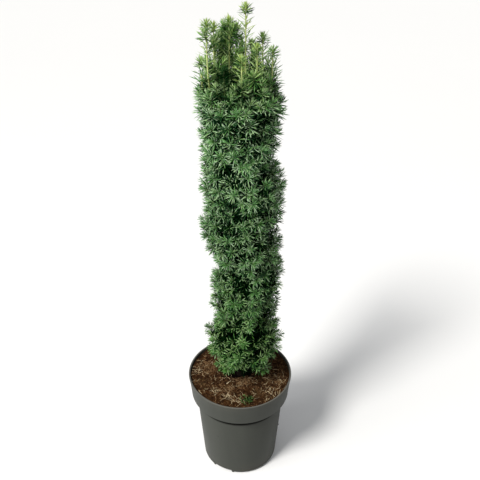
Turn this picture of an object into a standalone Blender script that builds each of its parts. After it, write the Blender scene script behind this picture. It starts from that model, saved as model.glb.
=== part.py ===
import bmesh
import bpy
import math
import random
from mathutils import Quaternion, Vector

# A slender upright yew in a round plastic pot, in metres with +Z up.
# The origin is on the pot's axis, in the plane that it stands on. The front is -Y.
# An azimuth is counted from the front towards +X, the right side.

GAP = 0.0003  # left between pieces that touch
WELD = 0.00001
SEED = 41

# Pot: a turned shell with a deep collar, a thin rim and three drain pockets in its foot.
POT_HEIGHT = 0.248
RIM_RADIUS = 0.1168
RIM_BEAD = 0.0013
COLLAR_FOOT_RADIUS = 0.1108
COLLAR_FOOT_Z = 0.194
WALL_TOP_RADIUS = 0.0998
FOOT_RADIUS = 0.0845
POT_WALL = 0.0022
POT_FLOOR = 0.003
FOOT_ROUND = 0.008
INSIDE_ROUND = 0.004
LEDGE_ROUND = 0.0012
POT_STEPS = 40

DRAIN_COUNT = 3
DRAIN_AZIMUTH = math.radians(-29)
DRAIN_ANGLE = math.radians(34)
DRAIN_HEIGHT = 0.0095
DRAIN_DEPTH = 0.02
DRAIN_WALL = 0.0025
DRAIN_STEPS = 6
SLOT_TAPER = 0.90  # width of a slot at its top, as a share of its foot
POCKET_TAPER = 0.94
RECESS_TAPER = 0.95

# Moulding pips on the wall: azimuth, height and how far each stands out.
PIPS = ((math.radians(88), 0.079, 0.0022), (math.radians(-32), 0.12, 0.0008))
PIP_ROOT = 0.0019  # how deep a pip is sunk in the wall

# Compost, a little below the rim.
SOIL_Z = 0.243
SOIL_EDGE_DROP = 0.0015
SOIL_FLAT_RADIUS = 0.022
SOIL_RING_RADIUS = 0.078

# Outline of the foliage: height, left reach and right reach of the needle tips.
CROWN = (
    (0.272, -0.052, 0.068),
    (0.350, -0.071, 0.092),
    (0.395, -0.060, 0.071),
    (0.430, -0.060, 0.077),
    (0.526, -0.061, 0.084),
    (0.567, -0.048, 0.079),
    (0.607, -0.070, 0.082),
    (0.660, -0.079, 0.074),
    (0.704, -0.067, 0.083),
    (0.765, -0.068, 0.088),
    (0.812, -0.071, 0.065),
    (0.846, -0.077, 0.074),
    (0.930, -0.090, 0.086),
    (1.000, -0.078, 0.068),
)
CROWN_LUMPS = 0.05  # how far the outline swells and shrinks round the plant

# Trunk: height, lean to the side and radius, from the flat cut on the compost to its tip.
TRUNK_TIP_Z = 0.878
TRUNK = (
    (SOIL_Z + GAP, 0.004, 0.0125),
    (SOIL_Z + 0.006, 0.004, 0.0098),
    (SOIL_Z + 0.022, 0.005, 0.0076),
    (0.38, 0.011, 0.0068),
    (0.56, 0.013, 0.0058),
    (0.72, 0.010, 0.0048),
    (0.82, 0.006, 0.0040),
    (TRUNK_TIP_Z, 0.006, 0.0026),
)

# Tiers of foliage round the trunk: name, foot, top and turn of the four masses in it.
TIERS = (
    ("foot", 0.272, 0.395, math.radians(8)),
    ("lower", 0.395, 0.560, math.radians(-24)),
    ("middle", 0.560, 0.700, math.radians(17)),
    ("upper", 0.700, 0.812, math.radians(-12)),
    ("shoulder", 0.812, 0.892, math.radians(22)),
)
SIDES = ("front", "right", "back", "left")
CORE_INSIDE = 0.016
SHOULDER_INSIDE = 0.034
CORE_REACH = 0.76  # outer side of a core, as a share of the reach
CORE_MARGIN = 0.0022
CORE_NECK = 0.04  # radius at which the margin between two sides is measured
CORE_POWER = 6
CORE_CLEAR = 1.15
STEM_RADIUS = 0.0026
STEM_Z = 0.035  # height over the tier's foot at which a mass's stem leaves the trunk
STEM_RUN = 0.004
STEM_STEPS = 4
STEM_GUIDE = (0.0, -0.4, -0.7)  # across, out and up in the mass's box
STEM_END = (0.0, 0.0, -0.2)
SHOULDER_STEM_Z = 0.0045
SHOULDER_RUN = 0.014

# Sprays of needles on the column.
SPRAY_COUNT = 164
SPRAY_TOP_Z = 0.940
SPRAY_TEETH = 6
SPRAY_REACH = 0.0245
SPRAY_LEAST = 0.011
SPRAY_MIDDLING = 0.019  # reach of a middling spray
SPRAY_CUP = 0.30  # rise of the needle tips, as a share of the reach
SPRAY_SET_IN = 0.80  # from the outline in to a spray's middle, as a share of how far its tips stand out
SPRAY_LEAN = (math.radians(22), math.radians(52))  # upward lean at the foot and at the shoulder
SPRAY_THICKNESS = 0.30  # between the front and the back of a spray's middle, as a share of the reach
SPRAY_VALLEY = 0.38  # depth of the notches between needles, as a share of the reach
SPRAY_FOOT = 0.024  # height of the lowest spray's middle over the lowest tier's foot
SPRAY_OVER_SOIL = 0.002
SPRAY_TURN = math.radians(-42)
SPRAY_SCATTER = 0.08
SPRAY_RAGGED = 0.004
SHRINK = 0.88
TWIG_RADIUS = 0.0014
TWIG_SEAT = 0.25  # where a twig enters a spray, from its middle towards a tip and a notch
TWIG_TAPER = 0.7
TWIG_ROOT = 0.6  # place in the core at which a twig starts, as a share of its spray's place
TWIG_ROOT_OUT = 0.1
TWIG_ROOT_SAG = 0.15
GOLDEN = math.pi * (3 - math.sqrt(5))

# Leading shoots: name and place of the tip. The first stands on the trunk's own tip.
SHOOTS = (
    ("centre", 0.010, 0.000, 1.104),
    ("inner_left", -0.019, 0.010, 1.076),
    ("far_left", -0.058, -0.020, 1.081),
    ("left", -0.047, 0.016, 1.064),
    ("back_left", -0.034, 0.048, 1.040),
    ("back", -0.006, 0.042, 1.053),
    ("back_right", 0.021, 0.053, 1.018),
    ("inner_right", 0.041, 0.022, 1.042),
    ("right", 0.058, -0.006, 1.028),
    ("front_right", 0.030, -0.032, 1.042),
    ("front", 0.003, -0.048, 1.028),
    ("front_left", -0.028, -0.046, 1.006),
    ("low_left", -0.070, 0.004, 1.004),
)
SHOOT_BASE_Z = 0.890
SHOOT_BASE_RADIUS = (0.016, 0.027)
SHOOT_STEM = (0.0021, 0.0010)
BOUGH_START_Z = (0.822, 0.843)
BOUGH_RADIUS = (0.0019, 0.0017)
BOUGH_RUN = 0.003
BOUGH_GUIDE_RISE = 0.4
BOUGH_GUIDE_PULL = 0.45
BOUGH_STEPS = 3
SHOOT_RUN = 0.003
SHOOT_SPREAD = 1.0  # how soon a shoot reaches its own distance from the middle
SHOOT_GUIDE_RISE = 0.24
SHOOT_BUD = 0.008
WHORL_STEP = 0.0125
WHORL_TEETH = 6
WHORL_REACH = 0.0140
WHORL_LEAST = 0.004
WHORL_CUP = 0.90

LIMB_EDGE = math.radians(60)  # edges sharper than this stay sharp in shading
NEEDLE_EDGE = math.radians(25)
POT_EDGE = math.radians(35)

PLANT = "potted_yew"


def polar(azimuth, radius, z, middle=0.0):
    return Vector((middle + radius * math.sin(azimuth), -radius * math.cos(azimuth), z))


# Interpolate a table whose first column is a height.
def readRow(rows, z):
    if z <= rows[0][0]:
        return rows[0][1:]
    for low, high in zip(rows, rows[1:]):
        if z <= high[0]:
            share = (z - low[0]) / (high[0] - low[0])
            return tuple(a + (b - a) * share for a, b in zip(low[1:], high[1:]))
    return rows[-1][1:]


def crownMiddle(z):
    left, right = readRow(CROWN, z)
    return (left + right) / 2


def crownReach(azimuth, z):
    left, right = readRow(CROWN, z)
    swell = math.sin(3 * azimuth + 25 * z) * math.cos(azimuth) ** 2
    return (right - left) / 2 * (1 + CROWN_LUMPS * swell)


def makeMaterial(name, colour, roughness, metallic=0.0):
    material = bpy.data.materials.new(name)
    material.use_nodes = True
    surface = material.node_tree.nodes["Principled BSDF"]
    surface.inputs["Base Color"].default_value = (*colour, 1.0)
    surface.inputs["Roughness"].default_value = roughness
    surface.inputs["Metallic"].default_value = metallic
    return material


def addPiece(name, mesh, group, material=None):
    piece = bpy.data.objects.new(name, mesh)
    group.objects.link(piece)
    if material:
        mesh.materials.append(material)
    return piece


def evaluatedMesh(piece):
    bpy.context.view_layer.update()
    depsgraph = bpy.context.evaluated_depsgraph_get()
    return bpy.data.meshes.new_from_object(piece.evaluated_get(depsgraph))


# Replace a piece's modifiers by the mesh that they make.
def settle(piece):
    mesh = evaluatedMesh(piece)
    source = piece.data
    piece.modifiers.clear()
    piece.data = mesh
    bpy.data.meshes.remove(source)


def smooth(piece, angle):
    piece.data.shade_smooth()
    piece.data.set_sharp_from_angle(angle=angle)


# Turn a profile of (radius, height) about Z.
def turned(name, profile, steps, group, material=None):
    shape = bmesh.new()
    line = [shape.verts.new((radius, 0, z)) for radius, z in profile]
    for start, end in zip(line, line[1:]):
        shape.edges.new((start, end))
    mesh = bpy.data.meshes.new(name)
    shape.to_mesh(mesh)
    shape.free()
    piece = addPiece(name, mesh, group, material)
    screw = piece.modifiers.new("turn", "SCREW")
    screw.angle = math.tau
    screw.steps = steps
    screw.render_steps = steps
    screw.use_merge_vertices = True
    screw.merge_threshold = WELD
    return piece


def hideAsCutter(piece):
    piece.hide_render = True
    piece.display_type = "WIRE"


def combine(piece, operation, group):
    boolean = piece.modifiers.new(operation.lower(), "BOOLEAN")
    boolean.operation = operation
    boolean.operand_type = "COLLECTION"
    boolean.collection = group
    boolean.solver = "EXACT"


# A block bent round Z whose ends slant in towards its top.
def arcBlock(name, azimuth, angle, inside, outside, foot, top, taper, group):
    shape = bmesh.new()
    corners = [shape.verts.new((0, -radius, z))
               for radius, z in ((inside, foot), (outside, foot), (outside, top), (inside, top))]
    face = shape.faces.new(corners)
    bmesh.ops.spin(
        shape,
        geom=[face] + list(face.edges) + corners,
        cent=(0, 0, 0),
        axis=(0, 0, 1),
        angle=angle,
        steps=DRAIN_STEPS,
        use_duplicate=False,
    )
    for vertex in shape.verts:
        radius = vertex.co.xy.length
        turn = math.atan2(vertex.co.x, -vertex.co.y) - angle / 2
        if vertex.co.z > (foot + top) / 2:
            turn *= taper
        vertex.co = polar(azimuth + turn, radius, vertex.co.z)
    shape.normal_update()
    bmesh.ops.recalc_face_normals(shape, faces=shape.faces)
    mesh = bpy.data.meshes.new(name)
    shape.to_mesh(mesh)
    shape.free()
    block = addPiece(name, mesh, group)
    hideAsCutter(block)
    return block


# The pot's inner line from the middle of the floor up to the rim, moved in by an offset.
def potInside(offset):
    line = (
        (0.0, POT_FLOOR),
        (FOOT_RADIUS - POT_WALL - INSIDE_ROUND, POT_FLOOR),
        (FOOT_RADIUS - POT_WALL, POT_FLOOR + INSIDE_ROUND),
        (WALL_TOP_RADIUS - POT_WALL, COLLAR_FOOT_Z + POT_WALL - LEDGE_ROUND),
        (WALL_TOP_RADIUS - POT_WALL + LEDGE_ROUND, COLLAR_FOOT_Z + POT_WALL),
        (COLLAR_FOOT_RADIUS - POT_WALL - LEDGE_ROUND, COLLAR_FOOT_Z + POT_WALL),
        (COLLAR_FOOT_RADIUS - POT_WALL, COLLAR_FOOT_Z + POT_WALL + LEDGE_ROUND),
        (RIM_RADIUS - RIM_BEAD - POT_WALL, POT_HEIGHT - RIM_BEAD),
    )
    return [(max(0.0, radius - offset), z + offset) for radius, z in line]


def potProfile():
    outside = [
        (RIM_RADIUS - RIM_BEAD - POT_WALL / 2, POT_HEIGHT),
        (RIM_RADIUS - RIM_BEAD / 2, POT_HEIGHT),
        (RIM_RADIUS, POT_HEIGHT - RIM_BEAD / 2),
        (RIM_RADIUS, POT_HEIGHT - 2 * RIM_BEAD),
        (RIM_RADIUS - RIM_BEAD, POT_HEIGHT - 3 * RIM_BEAD),
        (COLLAR_FOOT_RADIUS, COLLAR_FOOT_Z + LEDGE_ROUND),
        (COLLAR_FOOT_RADIUS - LEDGE_ROUND, COLLAR_FOOT_Z),
        (WALL_TOP_RADIUS + LEDGE_ROUND, COLLAR_FOOT_Z),
        (WALL_TOP_RADIUS, COLLAR_FOOT_Z - LEDGE_ROUND),
        (FOOT_RADIUS + FOOT_ROUND / 8, FOOT_ROUND),
        (FOOT_RADIUS - FOOT_ROUND / 3, FOOT_ROUND / 4),
        (FOOT_RADIUS - FOOT_ROUND, 0.0),
        (0.0, 0.0),
    ]
    return potInside(0.0) + outside


def makePot(parts, cutters, material):
    pockets = bpy.data.collections.new("drain_pockets")
    slots = bpy.data.collections.new("drain_slots")
    cutters.children.link(pockets)
    cutters.children.link(slots)
    pot = turned("pot", potProfile(), POT_STEPS, parts, material)
    for index in range(DRAIN_COUNT):
        azimuth = DRAIN_AZIMUTH + index * math.tau / DRAIN_COUNT
        side = 2 * DRAIN_WALL / FOOT_RADIUS
        arcBlock(f"pocket_{index + 1}", azimuth, DRAIN_ANGLE + side,
                 FOOT_RADIUS - DRAIN_DEPTH - DRAIN_WALL, FOOT_RADIUS - POT_WALL / 2,
                 POT_FLOOR / 2, DRAIN_HEIGHT + DRAIN_WALL, POCKET_TAPER, pockets)
        arcBlock(f"slot_{index + 1}", azimuth, DRAIN_ANGLE,
                 FOOT_RADIUS - DRAIN_DEPTH, FOOT_RADIUS + DRAIN_DEPTH,
                 -DRAIN_HEIGHT, DRAIN_HEIGHT, SLOT_TAPER, slots)
    for index, (azimuth, z, proud) in enumerate(PIPS):
        wall = FOOT_RADIUS + (WALL_TOP_RADIUS - FOOT_RADIUS) * z / COLLAR_FOOT_Z
        pip_radius = (proud + PIP_ROOT) / 2
        shape = bmesh.new()
        bmesh.ops.create_uvsphere(shape, u_segments=8, v_segments=6, radius=pip_radius)
        mesh = bpy.data.meshes.new(f"pip_{index + 1}")
        shape.to_mesh(mesh)
        shape.free()
        pip = addPiece(mesh.name, mesh, pockets)
        pip.location = polar(azimuth, wall + proud - pip_radius, z)
        hideAsCutter(pip)
    combine(pot, "UNION", pockets)
    combine(pot, "DIFFERENCE", slots)
    settle(pot)
    smooth(pot, POT_EDGE)


def makeSoil(parts, cutters, material):
    recesses = bpy.data.collections.new("soil_recesses")
    cutters.children.link(recesses)
    inside = potInside(GAP)
    lower, upper = inside[-2:]
    edge_z = SOIL_Z - SOIL_EDGE_DROP
    share = (edge_z - lower[1]) / (upper[1] - lower[1])
    edge = (lower[0] + (upper[0] - lower[0]) * share, edge_z)
    top = [
        (0.0, SOIL_Z),
        (SOIL_FLAT_RADIUS, SOIL_Z),
        (SOIL_RING_RADIUS, SOIL_Z - SOIL_EDGE_DROP / 3),
        edge,
    ]
    profile = top + inside[-2::-1]
    soil = turned("compost", profile, POT_STEPS, parts, material)
    for index in range(DRAIN_COUNT):
        azimuth = DRAIN_AZIMUTH + index * math.tau / DRAIN_COUNT
        side = 2 * (DRAIN_WALL + 2 * GAP) / FOOT_RADIUS
        arcBlock(f"recess_{index + 1}", azimuth, DRAIN_ANGLE + side,
                 FOOT_RADIUS - DRAIN_DEPTH - DRAIN_WALL - GAP, FOOT_RADIUS,
                 -POT_FLOOR, DRAIN_HEIGHT + DRAIN_WALL + GAP, RECESS_TAPER, recesses)
    combine(soil, "DIFFERENCE", recesses)
    settle(soil)
    smooth(soil, POT_EDGE)


# One tapering limb with flat ends along a line of points.
def makeLimb(name, points, radii, group, material, roundness=2):
    curve = bpy.data.curves.new(name + "_line", "CURVE")
    curve.dimensions = "3D"
    curve.bevel_depth = 1.0
    curve.bevel_resolution = roundness
    curve.use_fill_caps = True
    spline = curve.splines.new("POLY")
    spline.points.add(len(points) - 1)
    for knot, point, radius in zip(spline.points, points, radii):
        knot.co = (*point, 1.0)
        knot.radius = radius
    line = bpy.data.objects.new(name + "_line", curve)
    group.objects.link(line)
    mesh = evaluatedMesh(line)
    shape = bmesh.new()
    shape.from_mesh(mesh)
    bmesh.ops.remove_doubles(shape, verts=shape.verts, dist=WELD)
    shape.normal_update()
    bmesh.ops.recalc_face_normals(shape, faces=shape.faces)
    shape.to_mesh(mesh)
    shape.free()
    mesh.materials.clear()
    limb = addPiece(name, mesh, group, material)
    limb.matrix_world = line.matrix_world
    bpy.data.objects.remove(line)
    bpy.data.curves.remove(curve)
    smooth(limb, LIMB_EDGE)
    return limb


# Where a twig enters a spray: inside it, behind one facet of its back on the root's side.
def twigSeat(spray, root):
    turn = sprayTurn(spray)
    half = math.pi / spray["teeth"]
    seats = []
    for index in range(2 * spray["teeth"]):
        angle = (index + 0.5) * half
        out = TWIG_SEAT * (1 + SPRAY_VALLEY)
        place = Vector((out * math.cos(angle), out * math.sin(angle), out * spray["cup"]))
        seats.append(spray["middle"] + turn @ (place * spray["reach"]))
    return min(seats, key=lambda seat: (seat - root).length)


# A thin three-sided twig between two points.
def makeTwig(name, start, end, group, material):
    shape = bmesh.new()
    run = end - start
    bmesh.ops.create_cone(shape, cap_ends=True, segments=3,
                          radius1=TWIG_RADIUS, radius2=TWIG_RADIUS * TWIG_TAPER, depth=run.length)
    mesh = bpy.data.meshes.new(name)
    shape.to_mesh(mesh)
    shape.free()
    twig = addPiece(name, mesh, group, material)
    twig.location = (start + end) / 2
    twig.rotation_mode = "QUATERNION"
    twig.rotation_quaternion = run.to_track_quat("Z", "Y")
    return twig


# A spray's turn: its own +Z lies along its axis, and it is rolled about that.
def sprayTurn(spray):
    return spray["axis"].to_track_quat("Z", "Y") @ Quaternion((0, 0, 1), spray["roll"])


# World places of a spray's needle tips.
def sprayTips(spray):
    turn = sprayTurn(spray)
    reach = spray["reach"]
    tips = []
    for index in range(spray["teeth"]):
        angle = index * math.tau / spray["teeth"]
        tip = Vector((math.cos(angle), math.sin(angle), spray["cup"])) * reach
        tips.append(spray["middle"] + turn @ tip)
    return tips


# A toothed blade: a star of needles, thickest in the middle and cupped towards its tips.
def makeSpray(name, spray, group, material):
    teeth = spray["teeth"]
    reach = spray["reach"]
    shape = bmesh.new()
    bmesh.ops.create_cone(shape, cap_ends=True, cap_tris=True, segments=2 * teeth,
                          radius1=reach, radius2=0.0, depth=reach)
    bmesh.ops.remove_doubles(shape, verts=shape.verts, dist=WELD)
    for vertex in shape.verts:
        if vertex.co.xy.length < reach / 2:
            vertex.co.z = math.copysign(SPRAY_THICKNESS / 2 * reach, vertex.co.z)
            continue
        angle = math.atan2(vertex.co.y, vertex.co.x)
        is_tip = round(angle / (math.pi / teeth)) % 2 == 0
        out = 1.0 if is_tip else SPRAY_VALLEY
        vertex.co.xy *= out
        vertex.co.z = reach * spray["cup"] * out
    shape.normal_update()
    bmesh.ops.recalc_face_normals(shape, faces=shape.faces)
    mesh = bpy.data.meshes.new(name)
    shape.to_mesh(mesh)
    shape.free()
    piece = addPiece(name, mesh, group, material)
    piece.location = spray["middle"]
    piece.rotation_mode = "QUATERNION"
    piece.rotation_quaternion = sprayTurn(spray)
    return piece


# Join the shapes of a group to a piece, and keep the one outer body that results.
# A union that is left open is made again by the solver that needs closed shapes.
def fuse(piece, extras, group):
    for solver in ("EXACT", "MANIFOLD"):
        union = piece.modifiers.new("fuse", "BOOLEAN")
        union.operation = "UNION"
        union.operand_type = "COLLECTION"
        union.collection = group
        union.solver = solver
        mesh = evaluatedMesh(piece)
        piece.modifiers.remove(union)
        if keepOuterBody(mesh):
            break
        bpy.data.meshes.remove(mesh)
    source = piece.data
    piece.data = mesh
    bpy.data.meshes.remove(source)
    for extra in extras:
        bpy.data.objects.remove(extra)


# Drop sealed hollows and loose scraps from a mesh, and say whether it is closed.
def keepOuterBody(mesh):
    shape = bmesh.new()
    shape.from_mesh(mesh)
    bmesh.ops.triangulate(shape, faces=shape.faces)
    bodies = separateBodies(shape)
    outer = max(bodies, key=signedVolume)
    scraps = {vertex for body in bodies if body is not outer for face in body for vertex in face.verts}
    bmesh.ops.delete(shape, geom=list(scraps), context="VERTS")
    is_closed = all(edge.is_manifold for edge in shape.edges)
    shape.to_mesh(mesh)
    shape.free()
    return is_closed


# The faces of each body in a mesh.
def separateBodies(shape):
    unseen = set(shape.faces)
    bodies = []
    while unseen:
        queue = [unseen.pop()]
        body = []
        while queue:
            face = queue.pop()
            body.append(face)
            for edge in face.edges:
                for other in edge.link_faces:
                    if other in unseen:
                        unseen.remove(other)
                        queue.append(other)
        bodies.append(body)
    return bodies


def signedVolume(faces):
    volume = 0.0
    for face in faces:
        a, b, c = (vertex.co for vertex in face.verts)
        volume += a.dot(b.cross(c)) / 6
    return volume


# Points along a soft bend that leaves along start-guide and arrives along guide-end.
def bend(start, guide, end, count):
    points = []
    for index in range(count + 1):
        share = index / count
        points.append(start * (1 - share) ** 2 + guide * 2 * share * (1 - share) + end * share ** 2)
    return points


def trunkAt(z):
    lean, radius = readRow(TRUNK, z)
    return Vector((lean, 0.0, z)), radius


# First two points of a limb that leaves the trunk level, a gap clear of its bark.
def leaveTrunk(azimuth, z, run):
    middle, radius = trunkAt(z)
    outward = polar(azimuth, 1.0, 0.0)
    start = middle + outward * (radius + GAP)
    return start, start + outward * run


def tapered(first, last, count):
    return [first + (last - first) * index / (count - 1) for index in range(count)]


# The column's masses: each has a tier, a side and the box of polar space that its core fills.
def planMasses():
    masses = []
    for tier, (tier_name, foot, top, turn) in enumerate(TIERS):
        for side, side_name in enumerate(SIDES):
            is_shoulder = tier == len(TIERS) - 1
            masses.append({
                "name": f"foliage_{tier_name}_{side_name}",
                "azimuth": turn + side * math.pi / 2,
                "half_azimuth": math.pi / 4 - CORE_MARGIN / CORE_NECK,
                "z": (foot + top) / 2,
                "half_z": (top - foot) / 2 - CORE_MARGIN,
                "inside": SHOULDER_INSIDE if is_shoulder else CORE_INSIDE,
                "foot": foot,
                "is_shoulder": is_shoulder,
                "sprays": [],
            })
    return masses


def findMass(masses, azimuth, z):
    for tier, (_, foot, top, turn) in enumerate(TIERS):
        if foot <= z < top or tier == len(TIERS) - 1:
            side = round((azimuth - turn) / (math.pi / 2)) % len(SIDES)
            return masses[tier * len(SIDES) + side]


# Place in the world of a point of a mass's box, whose sides are at -1 and 1.
def inMass(mass, across, out, up):
    azimuth = mass["azimuth"] + mass["half_azimuth"] * across
    z = mass["z"] + mass["half_z"] * up
    outside = crownReach(azimuth, z) * CORE_REACH
    radius = (mass["inside"] + outside) / 2 + (outside - mass["inside"]) / 2 * out
    return polar(azimuth, radius, z, crownMiddle(z))


# How deep a point is in a mass's core: under 1 is inside.
def coreDepth(mass, point):
    local = point - Vector((crownMiddle(point.z), 0, 0))
    azimuth = math.atan2(local.x, -local.y)
    across = (azimuth - mass["azimuth"] + math.pi) % math.tau - math.pi
    outside = crownReach(azimuth, point.z) * CORE_REACH
    middle = (mass["inside"] + outside) / 2
    shares = (
        across / mass["half_azimuth"],
        (local.xy.length - middle) / (outside - middle),
        (point.z - mass["z"]) / mass["half_z"],
    )
    return sum(abs(share) ** CORE_POWER for share in shares)


def makeCore(mass, group, material):
    shape = bmesh.new()
    bmesh.ops.create_icosphere(shape, subdivisions=2, radius=1.0)
    for vertex in shape.verts:
        size = sum(abs(value) ** CORE_POWER for value in vertex.co) ** (-1 / CORE_POWER)
        vertex.co = inMass(mass, *(vertex.co * size))
    shape.normal_update()
    bmesh.ops.recalc_face_normals(shape, faces=shape.faces)
    mesh = bpy.data.meshes.new(mass["name"])
    shape.to_mesh(mesh)
    shape.free()
    return addPiece(mass["name"], mesh, group, material)


# Sprays spread evenly round the column by the golden angle, leaning up more towards the top.
def planColumn(masses, chance):
    foot = TIERS[0][1] + SPRAY_FOOT
    for index in range(SPRAY_COUNT):
        share = (index + 0.5) / SPRAY_COUNT
        z = foot + (SPRAY_TOP_Z - foot) * share
        azimuth = SPRAY_TURN + index * GOLDEN + chance.uniform(-SPRAY_SCATTER, SPRAY_SCATTER)
        mass = findMass(masses, azimuth, z)
        lean = SPRAY_LEAN[0] + (SPRAY_LEAN[1] - SPRAY_LEAN[0]) * share ** 2
        proud = SPRAY_MIDDLING * (math.sin(lean) + SPRAY_CUP * math.cos(lean))
        radius = crownReach(azimuth, z) - proud * SPRAY_SET_IN - chance.uniform(0, SPRAY_RAGGED)
        mass["sprays"].append({
            "owner": mass["name"],
            "middle": polar(azimuth, radius, z, crownMiddle(z)),
            "axis": (polar(azimuth, math.cos(lean), math.sin(lean))).normalized(),
            "azimuth": azimuth,
            "teeth": SPRAY_TEETH,
            "cup": SPRAY_CUP,
            "roll": chance.uniform(0, math.tau),
            "reach": min(SPRAY_REACH, (z - SOIL_Z - SPRAY_OVER_SOIL) / math.cos(lean)),
            "least": SPRAY_LEAST,
        })


# The shoots, with the bough under each: seats round the trunk are dealt out by azimuth.
def planShoots():
    shoots = []
    for name, x, y, z in SHOOTS:
        shoots.append({"name": name, "tip": Vector((x, y, z)), "azimuth": math.atan2(x, -y)})
    centre, ring = shoots[0], sorted(shoots[1:], key=lambda shoot: shoot["azimuth"])
    base, _ = trunkAt(TRUNK_TIP_Z)
    centre["bough"] = None
    centre["run"] = Vector((0, 0, 1))
    centre["base"] = base + centre["run"] * GAP
    seat = math.tau / len(ring)
    first = TIERS[-1][3] + seat / 2
    first += round((ring[0]["azimuth"] - first) / seat) * seat
    for index, shoot in enumerate(ring):
        azimuth = first + seat * index
        start, knee = leaveTrunk(azimuth, BOUGH_START_Z[index % 2], BOUGH_RUN)
        middle, _ = trunkAt(TRUNK_TIP_Z)
        end = middle + polar(azimuth, SHOOT_BASE_RADIUS[1 - index % 2], SHOOT_BASE_Z - TRUNK_TIP_Z)
        guide = Vector((end.x, end.y, knee.z + (end.z - knee.z) * BOUGH_GUIDE_RISE))
        guide = guide.lerp(knee, BOUGH_GUIDE_PULL)
        shoot["bough"] = [start] + bend(knee, guide, end, BOUGH_STEPS)
        run = (shoot["bough"][-1] - shoot["bough"][-2]).normalized()
        shoot["base"] = end + run * GAP
        shoot["run"] = run
    for shoot in shoots:
        planWhorls(shoot)
    return shoots


# A whorl of needles in the middle of each step of a shoot's stem.
def planWhorls(shoot):
    end = shoot["tip"] - Vector((0, 0, SHOOT_BUD))
    knee = shoot["base"] + shoot["run"] * SHOOT_RUN
    guide = knee.lerp(end, SHOOT_SPREAD)
    guide.z = knee.z + (end.z - knee.z) * SHOOT_GUIDE_RISE
    steps = round((end - knee).length / WHORL_STEP)
    shoot["line"] = [shoot["base"]] + bend(knee, guide, end, steps)
    shoot["sprays"] = []
    for start, stop in list(zip(shoot["line"], shoot["line"][1:]))[1:]:
        shoot["sprays"].append({
            "owner": shoot["name"],
            "middle": start.lerp(stop, 0.5),
            "axis": (stop - start).normalized(),
            "teeth": WHORL_TEETH,
            "cup": WHORL_CUP,
            "roll": 0.0,
            "reach": WHORL_REACH,
            "least": WHORL_LEAST,
        })


def nearestOnLine(point, line):
    best = None
    for start, stop in zip(line, line[1:]):
        along = stop - start
        share = max(0.0, min(1.0, (point - start).dot(along) / along.length_squared))
        distance = (start + along * share - point).length
        best = distance if best is None else min(best, distance)
    return best


# Keep each spray in its own space: it shrinks until it clears other masses and limbs, or is skipped.
def fitSprays(masses, shoots):
    owners = masses + shoots
    sprays = [spray for owner in owners for spray in owner["sprays"]]
    limbs = [("trunk", [trunkAt(row[0])[0] for row in TRUNK], TRUNK[2][2])]
    for shoot in shoots:
        limbs.append((shoot["name"], shoot["line"], SHOOT_STEM[0]))
        if shoot["bough"]:
            limbs.append(("bough", shoot["bough"], BOUGH_RADIUS[0]))
    for spray in sprays:
        ball = math.hypot(1.0, spray["cup"] / 2)
        heart = spray["middle"] + spray["axis"] * spray["reach"] * spray["cup"] / 2
        spray["heart"] = heart
        spray["ball"] = ball
    for spray in sprays:
        room = [spray["reach"]]
        for other in sprays:
            if other["owner"] != spray["owner"]:
                between = (other["heart"] - spray["heart"]).length
                sizes = spray["reach"] * spray["ball"] + other["reach"] * other["ball"]
                if between < sizes + 2 * GAP:
                    room.append(spray["reach"] * (between - 2 * GAP) / sizes)
        for owner, line, radius in limbs:
            if owner != spray["owner"]:
                room.append((nearestOnLine(spray["heart"], line) - radius - GAP) / spray["ball"])
        spray["fit"] = min(room)
    for owner in owners:
        for spray in owner["sprays"]:
            spray["reach"] = spray["fit"]
            while spray["reach"] >= spray["least"] and touchesCore(spray, owner, masses):
                spray["reach"] *= SHRINK
        owner["sprays"] = [spray for spray in owner["sprays"] if spray["reach"] >= spray["least"]]


def touchesCore(spray, owner, masses):
    points = [spray["middle"].lerp(tip, share) for tip in sprayTips(spray) for share in (1.0, 0.75, 0.5, 0.25)]
    for mass in masses:
        if mass is not owner and any(coreDepth(mass, point) < CORE_CLEAR for point in points):
            return True
    return False


def makeMass(mass, parts, scraps, material):
    core = makeCore(mass, parts, material)
    if mass["is_shoulder"]:
        start, knee = leaveTrunk(mass["azimuth"], mass["foot"] + SHOULDER_STEM_Z, SHOULDER_RUN)
    else:
        start, knee = leaveTrunk(mass["azimuth"], mass["foot"] + STEM_Z, STEM_RUN)
    end = inMass(mass, *STEM_END)
    guide = inMass(mass, *STEM_GUIDE)
    line = [start] + bend(knee, guide, end, STEM_STEPS)
    extras = [makeLimb("stem", line, tapered(STEM_RADIUS, TWIG_RADIUS, len(line)), scraps, material, 0)]
    for index, spray in enumerate(mass["sprays"]):
        across = (spray["azimuth"] - mass["azimuth"] + math.pi) % math.tau - math.pi
        across = max(-1.0, min(1.0, across / mass["half_azimuth"]))
        up = max(-1.0, min(1.0, (spray["middle"].z - mass["z"]) / mass["half_z"]))
        root = inMass(mass, across * TWIG_ROOT, TWIG_ROOT_OUT, up * TWIG_ROOT - TWIG_ROOT_SAG)
        extras.append(makeTwig(f"twig_{index}", root, twigSeat(spray, root), scraps, material))
        extras.append(makeSpray(f"spray_{index}", spray, scraps, material))
    fuse(core, extras, scraps)
    smooth(core, NEEDLE_EDGE)


# Pull the middle of a face out to a point.
def pullOut(shape, face, tip):
    poked = bmesh.ops.poke(shape, faces=[face])
    poked["verts"][0].co = tip


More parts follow.
